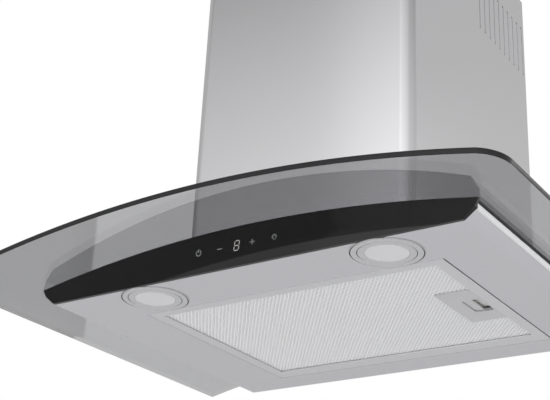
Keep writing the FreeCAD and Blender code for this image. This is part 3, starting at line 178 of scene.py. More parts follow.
# ---------------------------------------------------------------- materials
BROAD_GRAIN = (9, 9, 9)
BRUSH_X = (14, 1500, 1500)
BRUSH_ROUND = (20, 20, 1500)
QUARTER_TURN = 0.25
BUMP_DEPTH = 0.0004
SHEET_IOR = 1.01

cover_steel = surface("cover_steel", (0.625, 0.622, 0.635), 1.0, 0.11, BRUSH_ROUND, tint=0.012,
                      rough_tint=0.008, bump=0.001, anisotropic=0.98, tangent_axis="Z")
body_steel = surface("body_steel", (0.720, 0.714, 0.742), 1.0, 0.26, BRUSH_X, tint=0.012,
                     rough_tint=0.015, bump=0.003, anisotropic=0.90, tangent_axis="Y")
frame_steel = surface("frame_steel", (0.765, 0.762, 0.778), 1.0, 0.30, BRUSH_X, tint=0.012,
                      rough_tint=0.015, bump=0.003, anisotropic=0.85, tangent_axis="Y")
galvanised = surface("galvanised_sheet", (0.60, 0.62, 0.64), 1.0, 0.38, (120, 120, 120), tint=0.10,
                     rough_tint=0.10, bump=0.03, spots=0.04)
black_glass = surface("fascia_gloss", (0.0022, 0.0022, 0.0025), 0.0, 0.04, (700, 700, 700),
                      tint=0.10, rough_tint=0.01, specular=0.32)
seal_foam = surface("seal_foam", (0.048, 0.048, 0.050), 0.0, 0.75, (1600, 1600, 1600), tint=0.25,
                    rough_tint=0.10, bump=0.35)
rubber = surface("rubber_black", (0.03, 0.03, 0.03), 0.0, 0.65, (1100, 1100, 1100), tint=0.20,
                 rough_tint=0.10, bump=0.15)
lamp_metal = surface("lamp_metal", (0.70, 0.70, 0.71), 1.0, 0.28, (600, 600, 600), tint=0.01,
                     rough_tint=0.015, bump=0.002)
lamp_lens = surface("lamp_lens", (0.68, 0.68, 0.69), 0.0, 0.42, (900, 900, 900), tint=0.02,
                    rough_tint=0.05, bump=0.03)
filter_aluminium = surface("filter_aluminium", (0.72, 0.73, 0.74), 1.0, 0.34, (500, 500, 500),
                           tint=0.05, rough_tint=0.08, bump=0.04)
mesh_metal = surface("mesh_metal", (0.97, 0.97, 0.98), 0.65, 0.34, (420, 420, 420), tint=0.02,
                     rough_tint=0.05, bump=0.01)
core_metal = surface("core_metal", (0.86, 0.86, 0.87), 0.6, 0.45, (380, 380, 380), tint=0.08,
                     rough_tint=0.08, bump=0.10)
# Painted highlight: near-white and not metallic, standing in for the bright reflection along each
# upright side of the body.
band_satin = surface("band_satin", (0.93, 0.93, 0.94), 0.0, 0.35, BRUSH_X, tint=0.01,
                     rough_tint=0.03)
# Painted shade: a grey, not metallic line along the fold between the slope and the upright side.
painted_bend_shade = surface("painted_bend_shade", (0.66, 0.66, 0.67), 0.0, 0.35, BRUSH_X, tint=0.01,
                     rough_tint=0.03)
latch_grey = surface("latch_grey", (0.675, 0.668, 0.682), 0.85, 0.38, (800, 800, 800), tint=0.04,
                     rough_tint=0.05, bump=0.03)
spring_steel = surface("spring_steel", (0.50, 0.51, 0.53), 1.0, 0.25, (900, 900, 900), tint=0.05)
black_plastic = surface("black_plastic", (0.028, 0.028, 0.030), 0.0, 0.48, (1300, 1300, 1300),
                        tint=0.15, rough_tint=0.08, bump=0.12)
grey_plastic = surface("grey_plastic", (0.22, 0.225, 0.23), 0.0, 0.50, (1300, 1300, 1300),
                       tint=0.06, rough_tint=0.08, bump=0.10)
white_plastic = surface("white_plastic", (0.74, 0.74, 0.72), 0.0, 0.42, (1300, 1300, 1300),
                        tint=0.03, rough_tint=0.06, bump=0.06)
circuit_board = surface("circuit_board", (0.02, 0.11, 0.05), 0.0, 0.42, (350, 350, 350), tint=0.20,
                        rough_tint=0.10, bump=0.10)
motor_steel = surface("motor_steel", (0.42, 0.43, 0.44), 1.0, 0.42, (400, 400, 400), tint=0.08,
                      rough_tint=0.10, bump=0.05)
screw_steel = surface("screw_steel", (0.56, 0.565, 0.58), 1.0, 0.28, (900, 900, 900), tint=0.05)
symbol_paint = surface("symbol_paint", (0.52, 0.53, 0.54), 0.0, 0.40, (1500, 1500, 1500),
                       tint=0.04)

SLOT_MATERIALS = {
    "satin_steel": body_steel, "galvanised": galvanised, "black_glass": black_glass,
    "seal_foam": seal_foam, "rubber": rubber, "lamp_metal": lamp_metal, "lamp_lens": lamp_lens,
    "filter_aluminium": filter_aluminium, "filter_mesh": core_metal, "latch_grey": latch_grey,
    "spring_steel": spring_steel, "black_plastic": black_plastic, "grey_plastic": grey_plastic,
    "white_plastic": white_plastic, "circuit_board": circuit_board, "motor_steel": motor_steel,
    "screw_steel": screw_steel,
}
NODE_MATERIALS = {"chimney_lower": cover_steel, "chimney_upper": cover_steel,
                  "filter_frame": frame_steel}


def dress_nodes():
    """Each CAD node's slots get the material of the same name, or the node's own finish."""
    for name, obj in frame["nodes"].items():
        for place in obj.material_slots:
            slot_name = place.material.name.split(".")[0] if place.material else ""
            place.material = NODE_MATERIALS.get(name) or SLOT_MATERIALS.get(slot_name, body_steel)


def lit_digit():
    material, tree = new_material("lit_digit")
    glow = tree.remap(tree.noise((900, 900, 900)), 0.25, 0.75, 0.92, 1.08)
    colour = tree.scaled((0.40, 0.38, 0.37), glow)
    shader = tree.add("ShaderNodeBsdfPrincipled", {
        "Base Color": colour, "Roughness": 0.35, "Emission Color": colour,
        "Emission Strength": 0.25})
    tree.add("ShaderNodeOutputMaterial", {0: shader.outputs[0]})
    return material


def smoked_glass():
    """Tinted sheet that doesn't bend what is behind it, and mirrors what is below it."""
    material, tree = new_material("smoked_glass")
    tint = tree.remap(tree.noise((25, 25, 25), 2.0), 0.3, 0.7, 0.995, 1.005)
    shader = tree.add("ShaderNodeBsdfPrincipled", {
        "Base Color": tree.scaled((0.424, 0.425, 0.437), tint), "Roughness": 0.0,
        "Transmission Weight": 1.0, "IOR": SHEET_IOR,
        "Coat Weight": 1.0, "Coat Roughness": 0.0, "Coat IOR": 1.95})
    tree.add("ShaderNodeOutputMaterial", {0: shader.outputs[0]})
    return material


def polished_edge():
    """Dark from outside. From inside the sheet it lets light through as the faces do."""
    material = surface("glass_edge", (0.014, 0.014, 0.015), 0.0, 0.10, (300, 300, 300), tint=0.15,
                       rough_tint=0.04, specular=0.2)
    tree = material.node_tree
    outer = next(n for n in tree.nodes if n.type == "BSDF_PRINCIPLED")
    output = next(n for n in tree.nodes if n.type == "OUTPUT_MATERIAL")
    inner = tree.nodes.new("ShaderNodeBsdfPrincipled")
    inner.inputs["Base Color"].default_value = grey(0.43)
    inner.inputs["Roughness"].default_value = 0.0
    inner.inputs["Transmission Weight"].default_value = 1.0
    inner.inputs["IOR"].default_value = SHEET_IOR
    side = tree.nodes.new("ShaderNodeNewGeometry")
    mix = tree.nodes.new("ShaderNodeMixShader")
    tree.links.new(side.outputs["Backfacing"], mix.inputs[0])
    tree.links.new(outer.outputs[0], mix.inputs[1])
    tree.links.new(inner.outputs[0], mix.inputs[2])
    tree.links.new(mix.outputs[0], output.inputs[0])
    return material


# ---------------------------------------------------------------- mesh helpers
def add_piece(name, mesh, body):
    """Object for a finished mesh, riding on a body."""
    obj = bpy.data.objects.new(name, mesh)
    bpy.context.scene.collection.objects.link(obj)
    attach(obj, body)
    return obj


def make(name, verts, faces, material, body, smooth=True):
    """New piece from plain lists, riding on a body."""
    mesh = bpy.data.meshes.new(name)
    mesh.from_pydata(verts, [], faces)
    mesh.materials.append(material)
    mesh.polygons.foreach_set("use_smooth", [smooth] * len(mesh.polygons))
    mesh.validate()
    return add_piece(name, mesh, body)


def plate(name, corner, size, material, body, lean=0.0):
    """Thin flat piece from one corner, its edges broken by a hair. lean turns it about the corner."""
    turn = Matrix.Rotation(lean, 3, "Y")
    bm = bmesh.new()
    bmesh.ops.create_cube(bm, size=1.0)
    for vert in bm.verts:
        vert.co = Vector(corner) + turn @ Vector([(c + 0.5) * s for c, s in zip(vert.co, size)])
    bmesh.ops.bevel(bm, geom=bm.edges[:], offset=min(size) * 0.2, segments=1, affect="EDGES")
    mesh = bpy.data.meshes.new(name)
    bm.to_mesh(mesh)
    bm.free()
    mesh.materials.append(material)
    obj = add_piece(name, mesh, body)
    return obj


# ---------------------------------------------------------------- glass canopy
def arch_height(x, radius):
    """Height on an arch of this radius, concentric with the glass's underside."""
    inner = (GLASS_HALF ** 2 + GLASS_DROP ** 2) / (2 * GLASS_DROP)
    return GLASS_CROWN - inner + math.sqrt((inner + radius) ** 2 - x * x)


def glass_outline():
    """Plan of the sheet, anticlockwise from the notch's left rear corner."""
    points = [(-NOTCH_HALF, GLASS_REAR), (-GLASS_HALF, GLASS_REAR)]
    for sign in (-1, 1):
        cx = sign * (GLASS_HALF - GLASS_CORNER)
        cy = GLASS_FRONT + GLASS_CORNER
        start = math.pi if sign < 0 else 1.5 * math.pi
        for i in range(CORNER_STEPS + 1):
            turn = start + 0.5 * math.pi * i / CORNER_STEPS
            points.append((cx + GLASS_CORNER * math.cos(turn), cy + GLASS_CORNER * math.sin(turn)))
    points += [(GLASS_HALF, GLASS_REAR), (NOTCH_HALF, GLASS_REAR), (NOTCH_HALF, NOTCH_FRONT),
               (-NOTCH_HALF, NOTCH_FRONT)]
    return points


def glass_sheet():
    """Bowed sheet with rounded, polished edges, cut into strips that follow the bow."""
    bm = bmesh.new()
    bm.faces.new([bm.verts.new((x, y, 0)) for x, y in glass_outline()])
    count = int(GLASS_HALF / GLASS_STEP)
    for i in range(-count + 1, count):
        bmesh.ops.bisect_plane(bm, geom=bm.verts[:] + bm.edges[:] + bm.faces[:],
                               plane_co=(i * GLASS_STEP, 0, 0), plane_no=(1, 0, 0))
    for y in (NOTCH_FRONT, GLASS_FRONT + GLASS_CORNER):
        bmesh.ops.bisect_plane(bm, geom=bm.verts[:] + bm.edges[:] + bm.faces[:],
                               plane_co=(0, y, 0), plane_no=(0, 1, 0))
    bmesh.ops.recalc_face_normals(bm, faces=bm.faces[:])
    top = bmesh.ops.extrude_face_region(bm, geom=bm.faces[:])
    upper = {v for v in top["geom"] if isinstance(v, bmesh.types.BMVert)}
    for vert in bm.verts:
        vert.co.z = arch_height(vert.co.x, GLASS_THICK if vert in upper else 0.0)
    bmesh.ops.recalc_face_normals(bm, faces=bm.faces[:])
    for face in bm.faces:
        face.smooth = True
        face.material_index = 0 if abs(face.normal.z) > 0.7 else 1
    rims = [e for e in bm.edges if len({f.material_index for f in e.link_faces}) == 2]
    bmesh.ops.bevel(bm, geom=rims, offset=GLASS_BEVEL, segments=2, affect="EDGES", profile=0.5,
                    material=1, clamp_overlap=True)
    mesh = bpy.data.meshes.new("glass_sheet")
    bm.to_mesh(mesh)
    bm.free()
    mesh.materials.append(smoked_glass())
    mesh.materials.append(polished_edge())
    sheet = add_piece("glass_sheet", mesh, "root")
    even = sheet.modifiers.new("even_normals", "WEIGHTED_NORMAL")
    even.weight = 100
    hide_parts("glass_canopy")


# ---------------------------------------------------------------- filter mesh
MESH_X0, MESH_X1 = -0.1596, 0.1736
MESH_Y0, MESH_Y1 = -0.3126, -0.0663
MESH_LOW = -0.1837
MESH_HIGH = -0.1829
PITCH_X = 0.0044
ROW = 0.002925
STRAND = 0.00065
EDGE_RISE = 0.00038
CROSS_DIP = 0.00015
CROSS_WIDTH = 1.25
SPAN_WIDTH = 0.85
LATCH_GAP = 0.0003
LATCH_LOW, LATCH_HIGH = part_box("latch_plate")


def in_mesh(x, y):
    """True where the lattice shows: inside the frame and clear of the latch."""
    if not (MESH_X0 < x < MESH_X1 and MESH_Y0 < y < MESH_Y1):
        return False
    return not (x > LATCH_LOW.x - LATCH_GAP
                and LATCH_LOW.y - LATCH_GAP < y < LATCH_HIGH.y + LATCH_GAP)


def filter_lattice():
    """Expanded sheet: two sets of crossing ridged strands, wider and flatter where they cross."""
    verts, faces = [], []
    half = PITCH_X / 2
    length = math.hypot(half, ROW)
    rows = int((MESH_Y1 - MESH_Y0) / ROW)
    for lean in (1, -1):
        side_x, side_y = ROW / length * STRAND, -lean * half / length * STRAND
        first = -rows if lean > 0 else 0
        last = int((MESH_X1 - MESH_X0) / PITCH_X) * 2 + (0 if lean > 0 else rows)
        for start in range(first, last + 1, 2):
            previous = None
            for step in range(2 * rows + 1):
                x = MESH_X0 + (start + lean * step / 2) * half
                y = MESH_Y0 + step / 2 * ROW
                if not in_mesh(x, y):
                    previous = None
                    continue
                on_cross = step % 2 == 0
                base = len(verts)
                ridge = MESH_LOW + CROSS_DIP if on_cross else MESH_LOW
                width = CROSS_WIDTH if on_cross else SPAN_WIDTH
                verts.append((x - side_x * width, y - side_y * width, MESH_LOW + EDGE_RISE))
                verts.append((x, y, ridge))
                verts.append((x + side_x * width, y + side_y * width, MESH_LOW + EDGE_RISE))
                verts.append((x, y, MESH_HIGH))
                if previous is not None:
                    for a, b in ((0, 1), (1, 2), (2, 3), (3, 0)):
                        faces.append((previous + a, previous + b, base + b, base + a))
                previous = base
    sheet = make("filter_lattice", verts, faces, mesh_metal, "filter", smooth=False)
    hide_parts("filter_face_mesh")


# ---------------------------------------------------------------- latch spring
COIL_WIRE = 0.00025
COIL_TURNS = 5
COIL_STEPS = 24
COIL_SIDES = 8


def latch_coil():
    """Coil between the latch plate and the slide."""
    low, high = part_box("latch_spring")
    cy, cz = (low.y + high.y) / 2, (low.z + high.z) / 2
    radius = (high.z - low.z) / 2 - COIL_WIRE
    count = COIL_TURNS * COIL_STEPS
    verts, faces = [], []
    for i in range(count + 1):
        turn = 2 * math.pi * i / COIL_STEPS
        out = Vector((0, math.cos(turn), math.sin(turn)))
        x = low.x + COIL_WIRE + (high.x - low.x - 2 * COIL_WIRE) * i / count
        for k in range(COIL_SIDES):
            angle = 2 * math.pi * k / COIL_SIDES
            point = Vector((x, cy, cz)) + out * (radius + COIL_WIRE * math.cos(angle))
            verts.append(point + Vector((COIL_WIRE * math.sin(angle), 0, 0)))
    for i in range(count):
        for k in range(COIL_SIDES):
            a = i * COIL_SIDES + k
            b = i * COIL_SIDES + (k + 1) % COIL_SIDES
            faces.append((a, b, b + COIL_SIDES, a + COIL_SIDES))
    faces.append(tuple(range(COIL_SIDES)))
    faces.append(tuple(count * COIL_SIDES + k for k in range(COIL_SIDES)))
    coil = make("latch_coil", verts, faces, spring_steel, "filter")
    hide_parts("latch_spring")
    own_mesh(coil)


# ---------------------------------------------------------------- symbols on the fascia
LINE = 0.00040
FINE_LINE = 0.8 * LINE
PROUD = 0.00006
POWER_X, POWER_Z = -0.0441, 0.02035
POWER_R = 0.0028
STEM_LOW, STEM_TOP = 0.0206, 0.0242
MINUS_LEFT, MINUS_RIGHT, MINUS_Z = -0.02235, -0.01665, 0.0199
PLUS_X, PLUS_Z = 0.01745, 0.0202
PLUS_ARM, PLUS_RISE = 0.0029, 0.0028
BULB_X, BULB_Z = 0.0419, 0.0203
BULB_R = 0.0019
CAP_HALF, CAP_DROP = 0.0007, 0.0026
RAY_INNER, RAY_OUTER = 0.0025, 0.0031
DIGIT_Z = 0.0198
DIGIT_WIDTH, DIGIT_HEIGHT = 0.0052, 0.0092
DIGIT_BAR, DIGIT_GAP = 0.0008, 0.00035
DIGIT_SLANT = math.tan(math.radians(8))


def on_fascia(x, height):
    """Point on the fascia's leaning face, a little proud of it."""
    return (x, FASCIA_Y - height * FASCIA_LEAN - PROUD, UNDERSIDE_Z + height)


def ribbon(path, width, closed=False):
    """Flat stroke along points given as (x, height above the underside)."""
    points = [Vector(p) for p in path]
    count = len(points)
    verts, faces = [], []
    for i, point in enumerate(points):
        before = points[i - 1] if i or closed else point
        after = points[(i + 1) % count] if i < count - 1 or closed else point
        along = (after - before).normalized()
        across = Vector((-along.y, along.x)) * width / 2
        verts.append(on_fascia(*(point - across)))
        verts.append(on_fascia(*(point + across)))
    for i in range(count if closed else count - 1):
        j = (i + 1) % count
        faces.append((2 * i, 2 * i + 1, 2 * j + 1, 2 * j))
    return verts, faces


def on_circle(cx, cz, radius, degrees):
    """Point on a circle of the fascia's face."""
    turn = math.radians(degrees)
    return (cx + radius * math.cos(turn), cz + radius * math.sin(turn))


def arc(cx, cz, radius, start, end, steps=28):
    return [on_circle(cx, cz, radius, start + (end - start) * i / steps)
            for i in range(steps + 1)]


def strokes(name, parts, material):
    """One painted or lit piece from several ribbons. It leaves no mirror image in the glass."""
    verts, faces = [], []
    for part_verts, part_faces in parts:
        base = len(verts)
        verts += part_verts
        faces += [tuple(base + i for i in face) for face in part_faces]
    obj = make(name, verts, faces, material, "root", smooth=False)
    obj.visible_glossy = False
    return obj


def touch_symbols():
    strokes("symbol_power", [ribbon(arc(POWER_X, POWER_Z, POWER_R, 120, 420), LINE),
                             ribbon([(POWER_X, STEM_LOW), (POWER_X, STEM_TOP)], LINE)], symbol_paint)
    strokes("symbol_minus", [ribbon([(MINUS_LEFT, MINUS_Z), (MINUS_RIGHT, MINUS_Z)], LINE)],
            symbol_paint)
    strokes("symbol_plus",
            [ribbon([(PLUS_X - PLUS_ARM, PLUS_Z), (PLUS_X + PLUS_ARM, PLUS_Z)], FINE_LINE),
             ribbon([(PLUS_X, PLUS_Z - PLUS_RISE), (PLUS_X, PLUS_Z + PLUS_RISE)], FINE_LINE)],
            symbol_paint)
    bulb = [ribbon(arc(BULB_X, BULB_Z, BULB_R, -60, 240, 24), FINE_LINE),
            ribbon([(BULB_X - CAP_HALF, BULB_Z - CAP_DROP), (BULB_X + CAP_HALF, BULB_Z - CAP_DROP)],
                   FINE_LINE)]
    for i in range(5):
        bulb.append(ribbon([on_circle(BULB_X, BULB_Z, RAY_INNER, 45 * i),
                            on_circle(BULB_X, BULB_Z, RAY_OUTER, 45 * i)], FINE_LINE))
    strokes("symbol_lamp", bulb, symbol_paint)


def digit():
    """Seven lit segments, leaning a little."""
    parts = []
    ends = [((-0.5, 0), (0.5, 0)), ((-0.5, -0.5), (0.5, -0.5)), ((-0.5, 0.5), (0.5, 0.5)),
            ((-0.5, 0), (-0.5, 0.5)), ((0.5, 0), (0.5, 0.5)), ((-0.5, -0.5), (-0.5, 0)),
            ((0.5, -0.5), (0.5, 0))]
    for (ax, az), (bx, bz) in ends:
        a = Vector((ax * DIGIT_WIDTH, az * DIGIT_HEIGHT))
        b = Vector((bx * DIGIT_WIDTH, bz * DIGIT_HEIGHT))
        along = (b - a).normalized()
        across = Vector((-along.y, along.x)) * DIGIT_BAR / 2
        a, b = a + along * DIGIT_GAP, b - along * DIGIT_GAP
        tip = along * DIGIT_BAR / 2
        ring = [a, a + tip + across, b - tip + across, b, b - tip - across, a + tip - across]
        verts = [on_fascia(p.x + p.y * DIGIT_SLANT, p.y + DIGIT_Z) for p in ring]
        parts.append((verts, [tuple(range(6))]))
    strokes("digit_segments", parts, lit_digit())


# ---------------------------------------------------------------- lamp grooves and their painted shade crescents
RING_STEPS = 96
# Turn of the two places where the painted shade crescents are widest.
SHADE_TURN = math.radians(34)
GROOVE_OUTER, GROOVE_INNER = 0.0336, 0.0335
GROOVE_SHADE_WIDTH = 0.0011
JOINT_INNER, JOINT_OUTER = 0.0265, 0.0271
COLLAR_OUTER = 0.0272
COLLAR_SHADE_CUT = 0.0007
GROOVE_DROP = 0.00002
JOINT_DROP = -0.00030
COLLAR_DROP = -0.00004


def flat_ring(name, side, inner, outer, drop, material):
    """Ring on a lamp's face. inner and outer give its radii for each angle."""
    low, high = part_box("lamp_can_" + side)
    cx, cy = (low.x + high.x) / 2, (low.y + high.y) / 2
    verts, faces = [], []
    for i in range(RING_STEPS):
        turn = 2 * math.pi * i / RING_STEPS
        for radius in (inner(turn), outer(turn)):
            verts.append((cx + radius * math.cos(turn), cy + radius * math.sin(turn), low.z - drop))
        j = (i + 1) % RING_STEPS
        faces.append((2 * i, 2 * j, 2 * j + 1, 2 * i + 1))
    ring = make(name + side, verts, faces, material, "root", smooth=False)


def shade_swell(turn):
    """1 at two opposite places, where the painted shade crescents are widest, and 0 between."""
    return math.cos(turn - SHADE_TURN) ** 4


def lamp_shade_crescents(side):
    """Painted shade: the bezel's thin dark turned line and the dark joint round the inner ring both
    widen into dark crescents at two opposite places; a collar beside the joint covers it except
    there.
    """
    flat_ring("lamp_groove_shade_", side, lambda turn: GROOVE_INNER - GROOVE_SHADE_WIDTH * shade_swell(turn),
              lambda turn: GROOVE_OUTER, GROOVE_DROP, rubber)
    flat_ring("lamp_joint_shade_", side, lambda turn: JOINT_INNER, lambda turn: JOINT_OUTER,
              JOINT_DROP, rubber)
    flat_ring("lamp_collar_", side, lambda turn: JOINT_INNER + COLLAR_SHADE_CUT * shade_swell(turn),
              lambda turn: COLLAR_OUTER, COLLAR_DROP, lamp_metal)


# ---------------------------------------------------------------- slot lips of the duct cover
COVER_HALF = 0.134
COVER_INSET = 0.0001
SLOT_COUNT = 10
SLOT_TOP = UNDERSIDE_Z + 0.426
SLOT_LOW = SLOT_TOP - 0.068
SLOT_FIRST = -0.008
SLOT_STEP = 0.0135
LIP_HALF = 0.0025
LIP_REAR = 0.0023
LIP_THICK = 0.0003
LIP_CORNER = 0.0011
LIP_END = 0.0020
LIP_SLANT = 0.0005


def slot_lips():
    """Slanted lip in each of the cover's slots."""
    verts, faces = [], []
    for sign in (-1, 1):
        for i in range(SLOT_COUNT):
            y = SLOT_FIRST - SLOT_STEP * i
            low, top = SLOT_LOW + LIP_HALF, SLOT_TOP - LIP_HALF
            ring = [(-LIP_HALF, low), (-LIP_CORNER, low - LIP_END), (LIP_CORNER, low - LIP_END),
                    (LIP_REAR, low), (LIP_REAR, top), (LIP_CORNER, top + LIP_END),
                    (-LIP_CORNER, top + LIP_END), (-LIP_HALF, top)]
            base = len(verts)
            for depth in (0.0, LIP_THICK):
                for dy, z in ring:
                    slant = (dy + LIP_HALF) / (LIP_HALF + LIP_REAR) * LIP_SLANT
                    verts.append((sign * (COVER_HALF - COVER_INSET - slant - depth), y + dy, z))
            faces.append(tuple(base + k for k in range(8)))
            faces.append(tuple(base + 15 - k for k in range(8)))
            faces += [(base + k, base + 8 + k, base + 8 + (k + 1) % 8, base + (k + 1) % 8)
                      for k in range(8)]
    lips = make("cover_slot_lips", verts, faces, cover_steel, "root", smooth=False)


# ---------------------------------------------------------------- painted light strips of the body, and trim of the filter
# Sizes of the painted highlight band, the painted shade line at the bend and the painted shadow at
# the seal's edge.
BAND_LOW, BAND_HIGH = 0.0087, 0.0134
BAND_INSET = 0.001
BAND_THICK = 0.0002
BEND_WIDTH = 0.0013
SLOPE_OUTER = 0.240
SLOPE_TOP = 0.0088
SLOPE_LEAN = math.atan2(0.0115, 0.0088)
# Height of the painted shadow strip at the seal's lower edge.
SEAL_SHADOW = 0.0016
HAIR = 0.0001
TAB_LENGTH = 0.008
LIP_REACH = 0.0009
LIP_SHEET = 0.00014
LIP_RISE = 0.00004
LATCH_FLOOR = (0.1470, -0.2080, UNDERSIDE_Z + 0.0054)
LATCH_FLOOR_SIZE = (0.0142, 0.0370, 0.0002)


def painted_side_strips():
    """On each side: a bright band of painted highlight, a grey line of painted shade along the bend
    below it, and a dark strip of painted shadow at the seal's lower edge.

    The bands leave no mirror image in the glass."""
    low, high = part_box("hood_tray")
    seal_low, seal_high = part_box("glass_gasket")
    front = low.y + BAND_INSET
    depth = high.y - low.y - 2 * BAND_INSET
    for side, sign, x, seal_x in (("left", -1, low.x - BAND_THICK, seal_low.x - HAIR),
                                  ("right", 1, high.x, seal_high.x)):
        # Painted highlight band on the upright side.
        band = plate("side_highlight_band_" + side, (x, front, UNDERSIDE_Z + BAND_LOW),
                     (BAND_THICK, depth, BAND_HIGH - BAND_LOW), band_satin, "root")
        band.visible_glossy = False
        lean = sign * SLOPE_LEAN
        across = HAIR if sign > 0 else -HAIR - BAND_THICK
        corner = Vector((sign * SLOPE_OUTER, front, UNDERSIDE_Z + SLOPE_TOP))
        corner += Matrix.Rotation(lean, 3, "Y") @ Vector((across, 0, -BEND_WIDTH))
        # Painted shade line along the bend.
        bend = plate("bend_shade_line_" + side, corner, (BAND_THICK, depth, BEND_WIDTH), painted_bend_shade,
                     "root", lean)
        bend.visible_glossy = False
        # Painted shadow: a dark rubber strip along the seal's lower edge, where the shadow gap under
        # the seal falls.
        plate("seal_shadow_" + side, (seal_x, front, seal_low.z + HAIR), (HAIR, depth, SEAL_SHADOW),
              rubber, "root")


def filter_lips():
    """Thin turned lip on the filter's front, left and rear edges, just inside the opening."""
    low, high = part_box("filter_frame")
    left = low.x + TAB_LENGTH
    z = UNDERSIDE_Z + LIP_RISE
    for name, corner, width, depth in (
            ("front", (left, low.y - LIP_REACH, z), high.x - left, LIP_REACH),
            ("rear", (left, high.y, z), high.x - left, LIP_REACH),
            ("left", (left - LIP_REACH, low.y - LIP_REACH, z), LIP_REACH,
             high.y - low.y + LIP_REACH)):
        plate("filter_lip_" + name, corner, (width, depth, LIP_SHEET), frame_steel, "filter")


def latch_floor():
    """Pale floor of the latch's finger recess."""
    plate("latch_floor", LATCH_FLOOR, LATCH_FLOOR_SIZE, white_plastic, "filter")


# ---------------------------------------------------------------- stage, light, camera
FLOOR_Z = -1.75
FLOOR_HALF = 6.0
# Brightness of the studio by azimuth, in degrees: 0 is in front of the hood, 90 on its right.
STUDIO_PROFILE = [(-180, 0.62), (-120, 0.58), (-70, 0.62), (-45, 0.72), (-39, 0.80), (-31.6, 0.94),
                  (-31.1, 1.11), (-28.5, 1.27), (-24, 1.48), (-12, 1.40), (40, 1.10), (60, 0.88),
                  (108, 0.76), (122, 0.70), (150, 0.66), (160, 0.62), (180, 0.61)]
PROFILE_TOP = 2.0
LENS_MM, SENSOR_MM = 79.748, 36.0
CAMERA_RIGHT = Vector((0.831336, 0.553921, 0.045290))
CAMERA_DOWN = Vector((-0.196499, 0.369179, -0.908347))
CAMERA_AHEAD = Vector((-0.519873, 0.746242, 0.415757))
CAMERA_PLACE = Vector((0.623234, -1.222650, -0.593660))


def stage_floor():
    material = surface("floor_pale", (0.92, 0.92, 0.925), 0.0, 0.85, (2, 2, 2), tint=0.01)
    mesh = bpy.data.meshes.new("floor")
    h = FLOOR_HALF
    mesh.from_pydata([(-h, -h, FLOOR_Z), (h, -h, FLOOR_Z), (h, h, FLOOR_Z), (-h, h, FLOOR_Z)],
                     [], [(0, 1, 2, 3)])
    mesh.materials.append(material)
    obj = bpy.data.objects.new("floor", mesh)
    bpy.context.scene.collection.objects.link(obj)


def patch(tree, around, rise, spread, fade):
    """Soft-edged area of the studio. spread is (start, full, until, end, strength) in azimuth.

    fade is the pair of elevations between which the area dies out."""
    start, full, until, end, strength = spread
    shape = tree.math("MULTIPLY", tree.remap(around, start, full, 0, strength, True),
                      tree.remap(around, until, end, 1, 0, True))
    return tree.math("MULTIPLY", shape, tree.remap(rise, *fade, 1, 0, True))


def studio_level(tree, around, rise):
    """What surfaces mirror: the profile, dimmer high in front, with a dark and a bright panel."""
    level = tree.ramp(tree.remap(around, -180, 180, 0, 1),
                      [((a + 180) / 360, v / PROFILE_TOP) for a, v in STUDIO_PROFILE])
    level = tree.math("MULTIPLY", level, PROFILE_TOP)
    front = tree.math("MULTIPLY", tree.remap(around, -75, -50, 0, 1, True),
                      tree.remap(around, 115, 140, 1, 0, True))
    fall = tree.remap(rise, 20, 44, 1.25, 0.30, True)
    shade = tree.math("ADD", 1.0, tree.math("MULTIPLY", front, tree.math("SUBTRACT", fall, 1.0)))
    level = tree.math("MULTIPLY", level, shade)
    level = tree.math("MULTIPLY", level, tree.remap(rise, 45, 80, 1.0, 1.15, True))
    dark = patch(tree, around, rise, (40, 70, 110, 122, 0.3), (16, 25))
    level = tree.math("SUBTRACT", level, dark)
    bright = patch(tree, around, rise, (122, 136, 149, 153, 0.65), (23, 27))
    level = tree.math("ADD", level, bright)
    low_side = tree.math("MULTIPLY", tree.remap(around, 138, 146, 0, 0.14, True),
                         tree.remap(rise, 25, 32, 1, 0, True))
    return tree.math("MULTIPLY", level, tree.math("ADD", 1.0, low_side))


def backdrop_level(tree, around, rise):
    """What shows through the glass: a plain wall with an upright step on its left."""
    level = tree.math("MULTIPLY", tree.remap(around, -158.0, -156.5, 0.83, 1.0, True),
                      tree.remap(around, -136.3, -136.1, 0.97, 0.56, True))
    level = tree.math("ADD", level, tree.remap(around, -136.1, -134.4, 0.0, 0.06, True))
    low_left = tree.math("MULTIPLY", tree.remap(around, -136.3, -136.1, 0, 0.06, True),
                         tree.remap(rise, 17.5, 19.5, 1, 0, True))
    level = tree.math("ADD", level, low_left)
    return tree.math("MAXIMUM", level, tree.remap(around, -70, -60, 0.0, 0.97, True))


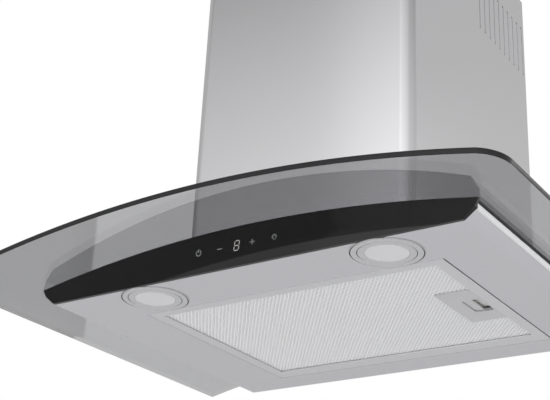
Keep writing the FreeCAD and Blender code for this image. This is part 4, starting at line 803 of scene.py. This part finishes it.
def studio_world():
    """White to the camera, the backdrop through the glass, and the studio in every mirror."""
    world = bpy.data.worlds.new("studio")
    bpy.context.scene.world = world
    world.use_nodes = True
    tree = Tree(world.node_tree)
    way = tree.add("ShaderNodeTexCoord").outputs["Generated"]
    parts = tree.add("ShaderNodeSeparateXYZ", {0: way}).outputs
    degrees = 180 / math.pi
    around = tree.math("MULTIPLY", tree.math("ARCTAN2", parts[0],
                                             tree.math("MULTIPLY", parts[1], -1.0)), degrees)
    rise = tree.math("MULTIPLY", tree.math("ARCSINE", parts[2]), degrees)
    levels = (studio_level(tree, around, rise), backdrop_level(tree, around, rise), grey(1.0))
    studio, beyond, white = (
        tree.add("ShaderNodeBackground", {"Color": level, "Strength": 1.0}).outputs[0]
        for level in levels)
    rays = tree.add("ShaderNodeLightPath").outputs
    mixed = tree.add("ShaderNodeMixShader", {0: rays["Is Transmission Ray"], 1: studio,
                                             2: beyond}).outputs[0]
    mixed = tree.add("ShaderNodeMixShader", {0: rays["Is Camera Ray"], 1: mixed,
                                             2: white}).outputs[0]
    tree.add("ShaderNodeOutputWorld", {0: mixed})


def soft_light(name, place, target, size, power):
    light = bpy.data.lights.new(name, "AREA")
    light.size = size
    light.energy = power
    obj = bpy.data.objects.new(name, light)
    obj.location = place
    obj.rotation_euler = (Vector(target) - Vector(place)).to_track_quat("-Z", "Y").to_euler()
    obj.visible_glossy = False
    obj.visible_camera = False
    obj.visible_transmission = False
    bpy.context.scene.collection.objects.link(obj)


def photo_camera():
    """The photograph's view. Its place and axes come from a fit to the object's edges."""
    data = bpy.data.cameras.new("camera")
    data.lens = LENS_MM
    data.sensor_width = SENSOR_MM
    data.clip_start = 0.01
    obj = bpy.data.objects.new("camera", data)
    place = Matrix((CAMERA_RIGHT, -CAMERA_DOWN, -CAMERA_AHEAD)).transposed().to_4x4()
    place.translation = CAMERA_PLACE
    obj.matrix_world = place
    bpy.context.scene.collection.objects.link(obj)
    bpy.context.scene.camera = obj


# ---------------------------------------------------------------- everything in its order
dress_nodes()
glass_sheet()
filter_lattice()
latch_coil()
touch_symbols()
digit()
for lamp_side in ("left", "right"):
    lamp_shade_crescents(lamp_side)
slot_lips()
painted_side_strips()
filter_lips()
latch_floor()
stage_floor()
studio_world()
soft_light("key", (-1.6, -2.2, 1.8), (0, -0.2, 0), 1.6, 40)
soft_light("fill", (2.2, -1.6, -0.4), (0, -0.2, 0), 1.4, 18)
soft_light("side", (2.4, 0.4, -0.5), (0.24, -0.2, -0.17), 1.2, 14)
photo_camera()
bpy.context.scene.view_settings.view_transform = "Standard"
